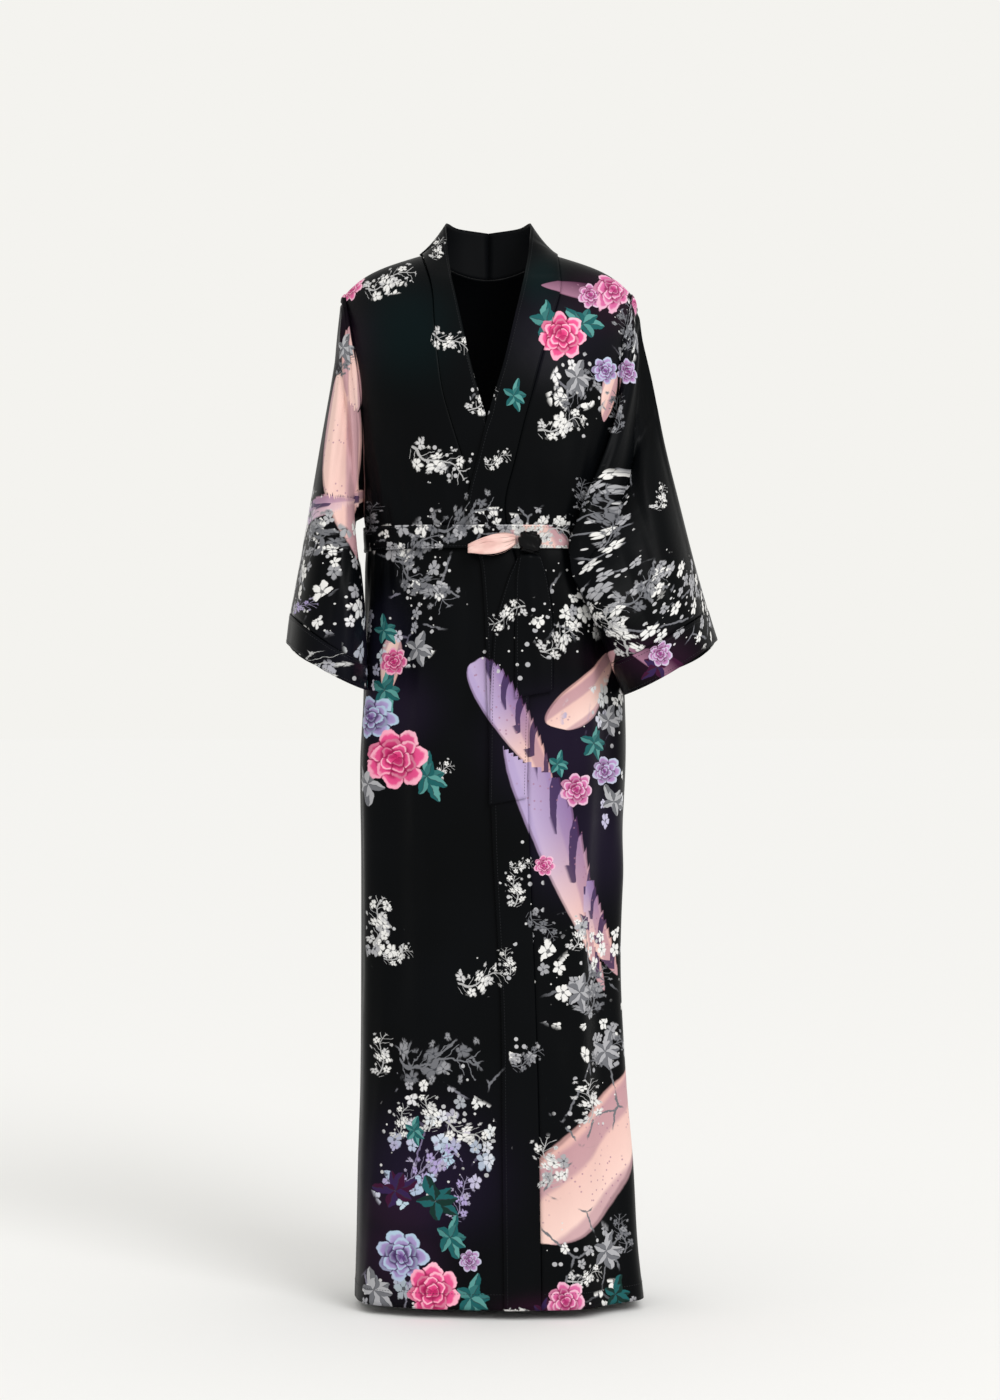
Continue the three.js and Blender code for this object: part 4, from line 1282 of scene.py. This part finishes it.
LOOSE_BLOSSOMS = [
    # how many to a metre, shift of their pattern
    (38.0, 0.0),
    (54.0, 2.7),
]
TWIG_BLOSSOMS = [
    # blossoms to half a spray, shift along it, size, distance aside, seed
    (2.1, 0.0, 0.21, 0.2, 1.0),
    (2.9, 0.4, 0.15, -0.24, 4.0),
    (6.2, 0.2, 0.055, 0.42, 7.0),
]
LEAF_WHEELS = [
    # leaves, share of a leaf they are turned by, reach
    (5.0, 0.0, 1.0),
    (4.0, 0.37, 0.78),
]
PETAL_WHEELS = [
    # petals, share of a petal they are turned by, reach
    (7.0, 0.1, 1.0),
    (6.0, 0.45, 0.74),
    (5.0, 0.2, 0.48),
    (3.0, 0.6, 0.25),
]
# The satin's threads, as angles to a metre of cloth: lengthwise, crosswise and how the crosswise ones lean.
WARP = 2 * math.pi / 0.0004
WEFT = 2 * math.pi / 0.0011
WEFT_LEAN = 900


def polar(along, across):
    """How far out a place is, and at what angle."""
    return (along * along + across * across).to(0.5), across.math("ARCTAN2", along)


def motif(finish, name, wobble):
    """A motif's own coordinates, with an unsteady hand's wobble, and its tone."""
    along, across, tone = finish.stored(name)
    wx, wy, _ = finish.split(wobble)
    return along + wx, across + wy, tone


def five_petals(along, across, radius, phase):
    """A small five-petalled blossom: its mask, how far out each point is, and how far along a petal's round."""
    away, angle = polar(along, across)
    wave = (angle * 2.5 + phase).sin().size()
    rim = (wave.to(0.55) * 0.62 + 0.42) * radius
    return away.under(rim, 0.035), away / radius, wave


def plumes(finish, colour, wobble):
    """Long pointed shapes, some with dark bars across them and barbs along one side."""
    along, across, tone = motif(finish, "plume", finish.scaled(wobble, 0.16))
    inside = (1 - along).most(0.0).to(0.75) * (1 + along).most(0.0).to(0.34) * 0.92
    barbs = (along * 9 + across * 1.5).part()
    barred = tone.over(0.5) * tone.under(1.5)
    width = inside * (1 - barred * (barbs * 0.16) * across.over(0, 0.1))
    mask = across.size().under(width, 0.03) * along.size().under(0.99, 0.01)
    depth = across * 0.5 + along * 0.35 + 0.5
    skin = finish.mix(depth, PALE_BLUSH, BLUSH)
    skin = finish.mix((along * 2.1 + across * 4).sin().over(0.35, 0.3) * 0.55, skin, MAUVE)
    violet = finish.mix(depth, LAVENDER, PURPLE)
    skin = finish.mix(barred * along.under(0.1, 0.5) * 0.85, skin, violet)
    bars = (along * 17 + across.size() * 5 + (across * 3).sin() * 1.2).sin().over(0.45, 0.08)
    bars = bars * barred * (across + along * 0.4).over(-0.15, 0.08)
    skin = finish.mix(bars * 0.9, skin, DEEP_PURPLE)
    skin = finish.mix(tone.over(1.5), skin, finish.mix(depth, PLUM, MAUVE))
    edge = across.size().over(width * 0.9, 0.04)
    skin = finish.mix(edge * 0.45, skin, PLUM)
    spot = finish.cells(finish.cloth, 85.0).under(0.1, 0.03) * finish.noise(finish.cloth, 16.0).over(0.52, 0.05)
    skin = finish.mix(spot * 0.7, skin, MAUVE)
    return finish.mix(mask, colour, skin)


def scattered(finish, colour, shares, tint_and_sheen):
    """Loose blossoms, drops and twigs, where the cloth's soft patches call for them."""
    blooms, dots, twigs = shares
    _, violet, _ = tint_and_sheen
    veins = finish.cells(finish.drawn, 17.0, feature="DISTANCE_TO_EDGE")
    broken = finish.noise(finish.cloth, 26.0).over(0.47, 0.02)
    twig = veins.under(0.022, 0.008) * twigs.over(0.3, 0.06) * broken
    colour = finish.mix(twig, colour, finish.mix(violet, GREY, LAVENDER))
    near = finish.cells(finish.cloth, 118.0)
    red, green, _ = finish.split(finish.other(1))
    dot = near.under(red * 0.3 + 0.06, 0.04) * (green - dots * 0.62).under(0, 0.01) * dots.over(0.12, 0.02)
    colour = finish.mix(dot, colour, finish.mix(red, WHITE, PALE_GREY))
    for scale, seed in LOOSE_BLOSSOMS:
        moved = finish.vector("ADD", finish.drawn, (seed, seed * 0.7, 0.0))
        finish.cells(moved, scale, 0.82)
        kind, centre = finish.other(1), finish.other(2)
        red, green, blue = finish.split(kind)
        offset = finish.scaled(finish.vector("SUBTRACT", moved, centre), scale)
        x, y, _ = finish.split(offset)
        squash = green * 0.5 + 0.75
        mask, out, wave = five_petals(x, y * squash, red * 0.2 + 0.26, blue * 6.28)
        mask = mask * (green - blooms).under(0, 0.01) * blooms.over(0.14, 0.02)
        petal = finish.mix(blue.over(0.55), WHITE, finish.mix(green, PALE_GREY, GREY))
        petal = finish.mix(violet * green.under(0.45, 0.2), petal, finish.mix(red, LAVENDER, PALE_BLUE))
        petal = finish.mix((1 - wave).over(0.72, 0.1) * 0.6, petal, DARK_GREY)
        petal = finish.mix(out.under(0.2, 0.05) * 0.8, petal, DARK_GREY)
        colour = finish.mix(mask, colour, petal)
    return colour


def sprays(finish, colour, wobble):
    """Twigs with blossoms and buds set along both sides of them."""
    along, across, tone = motif(finish, "spray", wobble)
    within = along.size().under(0.98, 0.02)
    stem = (along * 2.4).sin() * 0.2 + (along * 5 + tone).sin() * 0.05
    off = across - stem
    twig = off.size().under(0.028 - along * 0.012, 0.01) * within
    slant = off.size() - (along * 4 + 0.3).part() * 0.34
    side_twig = slant.size().under(0.018, 0.01) * off.size().under(0.34) * within
    pale = finish.mix(tone.over(0.5), WHITE, GREY)
    pale = finish.mix(tone.over(1.5), pale, LAVENDER)
    colour = finish.mix(twig.most(side_twig), colour, finish.mix(0.55, pale, GREY))
    for pitch, shift, size, aside, seed in TWIG_BLOSSOMS:
        place = along * pitch + shift
        index = (place + 0.5).step()
        luck = index.chance(seed)
        x = (place - index) / pitch
        flip = (index * 0.5).part() * 4 - 1
        y = off - (luck * 0.6 + 0.6) * aside * flip
        there = (index / pitch).size().under(0.84, 0.01) * luck.over(0.27, 0.01)
        mask, out, wave = five_petals(x, y, luck * size * 0.45 + size * 0.8, luck * 6.28)
        petal = finish.mix(luck.over(0.6), pale, finish.mix(0.5, pale, PALE_GREY))
        petal = finish.mix((1 - wave).over(0.7, 0.1) * 0.55, petal, DARK_GREY)
        petal = finish.mix(out.under(0.22, 0.05) * 0.8, petal, DARK_GREY)
        colour = finish.mix(mask * there, colour, petal)
    return colour


def leaf_clusters(finish, colour, wobble):
    """Pointed leaves that spread from one place, each with its rib."""
    along, across, tone = motif(finish, "leaves", wobble)
    away, angle = polar(along, across)
    for count, phase, reach in LEAF_WHEELS:
        wedge = angle * (count / (2 * math.pi)) + phase
        index = (wedge + 0.5).step()
        luck = index.chance(phase * 9 + 3)
        aside = (wedge - index) * (2 * math.pi / count) * away
        run = away / (luck * 0.4 + 0.6) / reach
        width = (run * 3.05).sin().most(0.0) * 0.2 * run.under(1.02)
        mask = (aside.size() - width).under(0, 0.015) * run.under(0.98, 0.02)
        leaf = finish.mix(aside.over(0, 0.01), TEAL, finish.mix(luck, TEAL, LIGHT_TEAL))
        green = finish.mix(aside.over(0, 0.01), DARK_GREEN, TEAL)
        leaf = finish.mix(tone.over(0.5), leaf, green)
        leaf = finish.mix(tone.over(1.5), leaf, finish.mix(aside.over(0, 0.01), GREY, PALE_GREY))
        leaf = finish.mix(tone.over(2.5), leaf, finish.mix(aside.over(0, 0.01), PLUM, DEEP_PURPLE))
        leaf = finish.mix(aside.size().under(0.012, 0.008) * 0.7, leaf, DARK_GREY)
        colour = finish.mix(mask * luck.over(0.12, 0.01), colour, leaf)
    return colour


def full_flower(finish, name, colour, wobble):
    """A full flower: wheels of cupped petals, one on another, with pale rims and dark lines between them."""
    along, across, tone = motif(finish, name, wobble)
    away, angle = polar(along, across)
    deep = finish.mix(tone, MAGENTA, DEEP_PURPLE)
    middle = finish.mix(tone, HOT_PINK, PURPLE)
    light = finish.mix(tone, PINK, LAVENDER)
    rim_colour = finish.mix(tone, PALE_PINK, PALE_BLUE)
    for count, phase, radius in PETAL_WHEELS:
        wedge = angle * (count / (2 * math.pi)) + phase
        index = (wedge + 0.5).step()
        aside = (wedge - index).size()
        luck = index.chance(count)
        rim = (1 - aside * aside * 0.9 + (aside * 14).sin() * 0.02) * radius * (luck * 0.14 + 0.88)
        mask = away.under(rim, 0.02)
        shade = (away / rim - 0.5 + luck * 0.24).most(0.0) * 1.7
        petal = finish.mix(shade.least(1.0), middle, light)
        petal = finish.mix((away / rim).over(0.86, 0.05) * (0.45 + luck * 0.5), petal, rim_colour)
        petal = finish.mix(aside.over(0.455, 0.03) * 0.85, petal, deep)
        petal = finish.mix(luck.under(0.25, 0.05) * 0.4, petal, deep)
        colour = finish.mix(mask, colour, petal)
        if radius > 0.3:
            colour = finish.mix(away.under(radius * 0.62, 0.05) * mask * 0.75, colour, deep)
    return colour


def satin(name, layers=(), ground=BLACK, roughness=0.33, shine=0.04):
    """Satin: fine threads, soft dents, and the wanted layers of the print over a near black ground, with teal
    sheen painted onto the ground where asked.
    """
    finish = Finish(name)
    finish.cloth = finish.node("ShaderNodeUVMap", {"uv_map": "Cloth"}, {})
    cloudy = finish.noise(finish.cloth, 7.0)
    colour = finish.mix(cloudy.over(0.5, 0.3) * 0.6, ground, ink("090B0E"))
    if "tint_and_sheen" in layers:
        tint_and_sheen = finish.stored("tint_and_sheen")
        # Painted sheen: the teal share lightens the ground where the satin would catch light. Lavender and plum
        # tint it.
        colour = finish.mix(tint_and_sheen[0].least(1.0), colour, PAINTED_SHEEN_TEAL)
        colour = finish.mix(tint_and_sheen[1] * 0.22, colour, DEEP_PURPLE)
        colour = finish.mix(tint_and_sheen[2] * 0.4, colour, PLUM)
    if len(layers) > 1:
        unsteady = finish.noise(finish.cloth, 150.0, 2.0, 1)
        drift = finish.scaled(finish.vector("SUBTRACT", unsteady, (0.5, 0.5, 0.5)), 0.006)
        finish.drawn = finish.vector("ADD", finish.cloth, drift)
        shaky = finish.noise(finish.cloth, 62.0, 3.0, 1)
        wobble = finish.scaled(finish.vector("SUBTRACT", shaky, (0.5, 0.5, 0.5)), 0.3)
    if "plume" in layers:
        colour = plumes(finish, colour, wobble)
    if "scatter" in layers:
        colour = scattered(finish, colour, finish.stored("scatter"), tint_and_sheen)
    if "spray" in layers:
        colour = sprays(finish, colour, wobble)
    if "leaves" in layers:
        colour = leaf_clusters(finish, colour, wobble)
    for flower in ("rose", "peony"):
        if flower in layers:
            colour = full_flower(finish, flower, colour, wobble)
    across, down, _ = finish.split(finish.cloth)
    thread = (across * WARP).sin() * 0.5 + (down * WEFT + across * WEFT_LEAN).sin() * 0.3
    dents = finish.noise(finish.cloth, 18.0, 3.0)
    height = thread * 0.00001 + dents * 0.0016
    bump = finish.bumped(height)
    rough = finish.noise(finish.cloth, 40.0) * 0.08 + roughness
    return finish.done(Base_Color=colour, Roughness=rough, Normal=bump, Specular_IOR_Level=shine)


def blush_satin():
    """The bow's loop: pale blush satin with a few brown brush lines."""
    finish = Finish("blush satin")
    finish.cloth = finish.node("ShaderNodeUVMap", {"uv_map": "Cloth"}, {})
    across, down, _ = finish.split(finish.cloth)
    tint = finish.noise(finish.cloth, 60.0, 3.0)
    colour = finish.mix(tint.over(0.5, 0.25), PALE_BLUSH, BLUSH)
    lines = (down * 900 + (across * 120).sin() * 2.2 + tint * 6).sin().over(0.93, 0.05)
    here = finish.noise(finish.cloth, 34.0).over(0.55, 0.05)
    colour = finish.mix(lines * here * 0.7, colour, ink("6A4438"))
    height = (across * WARP).sin() * 0.00001 + finish.noise(finish.cloth, 60.0) * 0.0006
    return finish.done(Base_Color=colour, Roughness=0.42, Normal=finish.bumped(height), Specular_IOR_Level=0.3)


def thread_finish():
    """The stitches' twisted black thread."""
    finish = Finish("black thread")
    where = finish.node("ShaderNodeTexCoord", {}, {}, 3)
    twist = finish.noise(where, 1800.0)
    bump = finish.bumped(twist, 0.6, 0.0002)
    colour = finish.mix(twist, ink("0C0D10"), ink("1C1E24"))
    return finish.done(Base_Color=colour, Roughness=0.6, Normal=bump, Specular_IOR_Level=0.3)


# The robe's satins: unprinted stretches, the wrong side, stretches with blossoms alone, and the whole print.
SATINS = [
    satin("black satin", ("tint_and_sheen",)),
    satin("satin wrong side", ground=ink("07080A"), roughness=0.55, shine=0.05),
    satin("blossom satin", ("tint_and_sheen", "scatter", "spray", "leaves")),
    satin("printed satin", ("tint_and_sheen", "plume", "scatter", "spray", "leaves", "rose", "peony")),
]
KNOT_SATIN = satin("knot satin", ground=ink("050506"), shine=0.1)
BLUSH_SATIN = blush_satin()
THREAD = thread_finish()


STITCH_RINGS = [
    # share of the stitch's length, share of its thickness, height over the cloth
    (0, 0.25, -0.12),
    (0.22, 0.9, 0.1),
    (0.78, 0.9, 0.1),
    (1, 0.25, -0.12),
]
STITCH_SIDES = 5


def stitch_run(name, path, normals, slot, pitch=3.8, long=2.5, thick=0.42):
    """A row of machine stitches along a path that lies on the cloth."""
    run = run_along(path)
    starts = np.arange(pitch, run[-1] - pitch, pitch)
    count = len(starts)

    def on_path(at, values):
        return np.stack([np.interp(at, run, values[:, k]) for k in range(3)], -1)

    first, second = on_path(starts, path), on_path(starts + long, path)
    up = unit(on_path(starts, normals))
    ahead = unit(second - first)
    aside = unit(np.cross(up, ahead))
    rings = []
    for share, girth, lift in STITCH_RINGS:
        middle = first + (second - first) * share + up * lift
        for corner in range(STITCH_SIDES):
            a = 2 * math.pi * corner / STITCH_SIDES
            rings.append(middle + (aside * math.cos(a) + up * math.sin(a) * 0.6) * thick * girth / 2 * 1.6)
    points = np.stack(rings, 1).reshape(-1, 3) * MM
    total = len(rings)
    sides = range(STITCH_SIDES)
    one = [
        (r + c, r + (c + 1) % STITCH_SIDES, r + STITCH_SIDES + (c + 1) % STITCH_SIDES, r + STITCH_SIDES + c)
        for r in range(0, total - STITCH_SIDES, STITCH_SIDES) for c in sides
    ]
    faces = [tuple(total * s + k for k in quad) for s in range(count) for quad in one]
    for end in ([*reversed(sides)], [total - STITCH_SIDES + c for c in sides]):
        faces += [tuple(total * s + k for k in end) for s in range(count)]
    mesh = bpy.data.meshes.new(name)
    mesh.from_pydata(points.tolist(), [], faces)
    mesh.polygons.foreach_set("use_smooth", np.ones(len(faces), bool))
    mesh.materials.append(THREAD)
    on_robe(name, mesh, slot)


def ring_stitches(name, outer, normals, edges, slot):
    """A row of stitches just inside each end of a tube of cloth."""
    for row, edge in zip((1, -2), edges):
        ring, ring_normals = (np.concatenate([v[row], v[row, :1]]) for v in (outer, normals))
        stitch_run(f"{name}_{edge}_stitches", ring, ring_normals, slot)


def row_at(uv, value):
    """The row of a grid whose distance down the cloth is nearest to a value."""
    return int(np.argmin(np.abs(uv[:, uv.shape[1] // 2, 1] - value)))


HEM_STITCHES = float(BODY_LENGTHS[-1]) - HEM_TURN + 2
# piece, node, grid and cloth coordinates, flat width and length, flat area
for name, node, panel, flat, area in (
    ("front_left_satin", "front_left", front_panel(TOP_BAND, 1, 40), (0.30, 1.40), 0.27),
    ("front_right_satin", "front_right", front_panel(UNDER_BAND, -1, 44), (0.36, 1.40), 0.36),
    ("back_satin", "back", back_panel(72), (0.56, 1.40), 0.66),
):
    outer, normals = cloth(
        name, node, *panel, SHOWN_CLOTH, "satin", sheet=(flat, area, "hung", []), hem=HEM_TURN,
    )
    row = row_at(panel[1], HEM_STITCHES)
    stitch_run(node + "_hem_stitches", outer[row], normals[row], "satin")

for name, node, table, side in (
    ("neckband_left_satin", "band_left", TOP_BAND, 1), ("neckband_right_satin", "band_right", UNDER_BAND, -1),
):
    grid, uv = band(table, side, 13)
    outer, normals = cloth(
        name, node, grid, uv, SHOWN_DOUBLE, "band_satin", sheet=((0.06, 1.56), 0.075, "hung", []),
    )
    column = 1 if side > 0 else -2
    stitch_run(node + "_seam_stitches", outer[:, column], normals[:, column], "band_satin")

LEFT_RINGS = np.concatenate([np.arange(0, 2, 0.125), np.linspace(2, SLEEVE_END + 0.02, 58)])
RIGHT_RINGS = np.concatenate([np.arange(0, 1, 0.125), np.linspace(1, SLEEVE_END + 0.02, 66)])
CUFF_RINGS = np.linspace(SLEEVE_END + 0.035, LAST_RING, 12)
for word, table, side, girth, rings, flat, area in (
    ("left", LEFT_SLEEVE, 1, LEFT_ARMHOLE_GIRTH, LEFT_RINGS, (0.78, 0.44), 0.165),
    ("right", RIGHT_SLEEVE, -1, RIGHT_ARMHOLE_GIRTH, RIGHT_RINGS, (0.70, 0.44), 0.13),
):
    grid, uv = sleeve_rings(table, side, girth, np.concatenate([rings, CUFF_RINGS]), 112)
    seam = len(rings)
    cloth(
        f"sleeve_{word}_satin", f"sleeve_{word}", grid[:seam], uv[:seam], SHOWN_CLOTH, "satin", closed=True,
        sheet=(flat, area, "hung", []),
    )
    outer, normals = cloth(
        f"cuff_{word}_satin", f"cuff_{word}", grid[seam:], uv[seam:], SHOWN_DOUBLE, "band_satin", closed=True,
        sheet=((0.56, 0.04), 0.021, "hung", []),
    )
    ring_stitches(f"cuff_{word}", outer, normals, ("seam", "hem"), "band_satin")

grid, uv = sash()
outer, normals = cloth(
    "belt_sash_satin", "belt_sash", grid, uv, SHOWN_BELT, "belt_satin", closed=True,
    sheet=((0.92, 0.033), 0.029, "stretched", ["front_left_satin", "back_satin"]),
)
ring_stitches("belt", outer, normals, ("upper", "lower"), "belt_satin")

grid, uv = loop()
cloth(
    "bow_loop_satin", "belt_loop", grid, uv, SHOWN_BELT, "blush_satin", BLUSH_SATIN, closed=True,
    sheet=((0.13, 0.03), 0.0033, "folded", ["belt_knot_satin"]),
)
for name, node, table, seed, flat in (
    ("belt_end_front_satin", "belt_tail_front", FRONT_TAIL, 0.0, (0.048, 0.185)),
    ("belt_end_back_satin", "belt_tail_back", BACK_TAIL, 1.9, (0.048, 0.32)),
):
    grid, uv = tail(table, seed)
    outer, normals = cloth(
        name, node, grid, uv, SHOWN_BELT, "belt_satin", sheet=(flat, None, "hung", ["belt_knot_satin"]),
    )
    for column in (1, -2):
        edge = "left" if column < 0 else "right"
        stitch_run(f"{node}_{edge}_stitches", outer[:, column], normals[:, column], "belt_satin")


def knot():
    """The knot: a soft lump of cloth with two wraps across it and rucks that run in under them."""
    around, along = 72, 40
    a = np.linspace(0, 2 * math.pi, around, endpoint=False)[None]
    b = np.linspace(0, math.pi, along)[:, None]
    x, y, z = np.sin(b) * np.cos(a), np.sin(b) * np.sin(a), np.cos(b) + 0 * a
    x_middle, z_middle = np.array(float(KNOT["x"])), np.array(float(KNOT["z"]))
    middle = front_point(x_middle, z_middle, KNOT["off"] + KNOT["depth"] / 2)
    slant = z * 0.92 + x * 0.38
    wrap = np.exp(-(((slant - 0.32) / 0.2) ** 4)) + 0.8 * np.exp(-(((slant + 0.36) / 0.22) ** 4))
    turn = np.arctan2(z, x)
    rucks = 0.05 * np.sin(turn * 7 + 3 * y) * (1 - y * y) + 0.03 * np.sin(turn * 13 + 1)
    size = 0.86 + 0.12 * wrap + rucks
    points = np.stack([
        middle[0] + signed_power(x, KNOT["power"]) * size * KNOT["width"] / 2,
        middle[1] + signed_power(y, KNOT["power"]) * size * KNOT["depth"] / 2,
        middle[2] + signed_power(z, KNOT["power"]) * size * KNOT["height"] / 2,
    ], -1)
    uv = stack(a * KNOT["width"] / 2, b * KNOT["height"] / 2)
    last = along - 1
    grid = points[1:last]
    inner = grid.reshape(-1, 3)
    poles = np.array([points[0].mean(0), points[last].mean(0)])
    verts = np.concatenate([inner, poles]) * MM
    rows = last - 1
    faces = [
        (i + j, i + around + j, i + around + (j + 1) % around, i + (j + 1) % around)
        for i in range(0, (rows - 1) * around, around) for j in range(around)
    ]
    top, foot = rows * around, rows * around + 1
    faces += [(top, j, (j + 1) % around) for j in range(around)]
    faces += [(foot, (rows - 1) * around + (j + 1) % around, (rows - 1) * around + j) for j in range(around)]
    mesh = bpy.data.meshes.new("belt_knot_satin")
    mesh.from_pydata(verts.tolist(), [], faces)
    flat_uv = np.concatenate([uv[1:last].reshape(-1, 2), uv[0, :1], uv[last, :1]]) * MM
    corners = np.array([k for face in faces for k in face])
    lay_cloth(mesh, flat_uv[corners])
    mesh.polygons.foreach_set("use_smooth", np.ones(len(faces), bool))
    mesh.materials.append(KNOT_SATIN)
    mesh.flip_normals()
    on_robe("belt_knot_satin", mesh, "belt_satin", "belt_knot")


knot()

# The studio, in metres: a wide pale floor just under the hem, a soft key light, a soft sun and the camera.
FLOOR = HEM_LEVEL * MM - 0.012
FLOOR_REACH = 60.0
KEY_PLACE, KEY_SIZE, KEY_WATTS = (1.5, -2.6, 1.5), 1.1, 16
SUN_TILT, SUN_TURN, SUN_STRENGTH, SUN_SOFTNESS = 58, 32, 0.95, 28
CAMERA_PLACE, CAMERA_LENS, CAMERA_SENSOR = (0.009, -4.2, -0.5615), 84.25, 36

floor_mesh = bpy.data.meshes.new("studio_floor")
corners = [(x * FLOOR_REACH, y * FLOOR_REACH, FLOOR) for x, y in ((-1, -1), (1, -1), (1, 1), (-1, 1))]
floor_mesh.from_pydata(corners, [], [(0, 1, 2, 3)])
paper = Finish("studio paper")
place = paper.node("ShaderNodeTexCoord", {}, {}, 3)
grain = paper.noise(place, 500.0)
tone = paper.mix(grain, ink("EDEDED"), ink("EFEFEF"))
floor_mesh.materials.append(paper.done(Base_Color=tone, Roughness=0.9, Specular_IOR_Level=0.0))
studio = bpy.data.objects.new("studio_floor", floor_mesh)
bpy.context.scene.collection.objects.link(studio)


def lamp(name, kind, place, tilt, turn, **settings):
    """A light that shines down its tilt from straight below, turned round the robe from the front."""
    made = bpy.data.lights.new(name, kind)
    for key, value in settings.items():
        setattr(made, key, value)
    light = bpy.data.objects.new(name, made)
    light.location = place
    light.rotation_euler = (math.radians(tilt), 0, math.radians(turn))
    bpy.context.scene.collection.objects.link(light)


key_tilt = math.degrees(math.atan2(math.hypot(*KEY_PLACE[:2]), KEY_PLACE[2] + 0.5))
key_turn = math.degrees(math.atan2(KEY_PLACE[0], -KEY_PLACE[1]))
lamp("key", "AREA", KEY_PLACE, key_tilt, key_turn, size=KEY_SIZE, energy=KEY_WATTS)
lamp("sun", "SUN", (0, 0, 3), SUN_TILT, SUN_TURN, energy=SUN_STRENGTH, angle=math.radians(SUN_SOFTNESS))

world = bpy.data.worlds.new("studio air")
world.use_nodes = True
air = world.node_tree.nodes["Background"]
air.inputs["Color"].default_value = ink("F4F3EF")
air.inputs["Strength"].default_value = 1.0
bpy.context.scene.world = world
bpy.context.scene.view_settings.view_transform = "Standard"

lens = bpy.data.cameras.new("camera")
lens.sensor_fit = "VERTICAL"
lens.sensor_height = CAMERA_SENSOR
lens.lens = CAMERA_LENS
camera = bpy.data.objects.new("camera", lens)
camera.location = CAMERA_PLACE
camera.rotation_euler = (math.pi / 2, 0, 0)
bpy.context.scene.collection.objects.link(camera)
bpy.context.scene.camera = camera
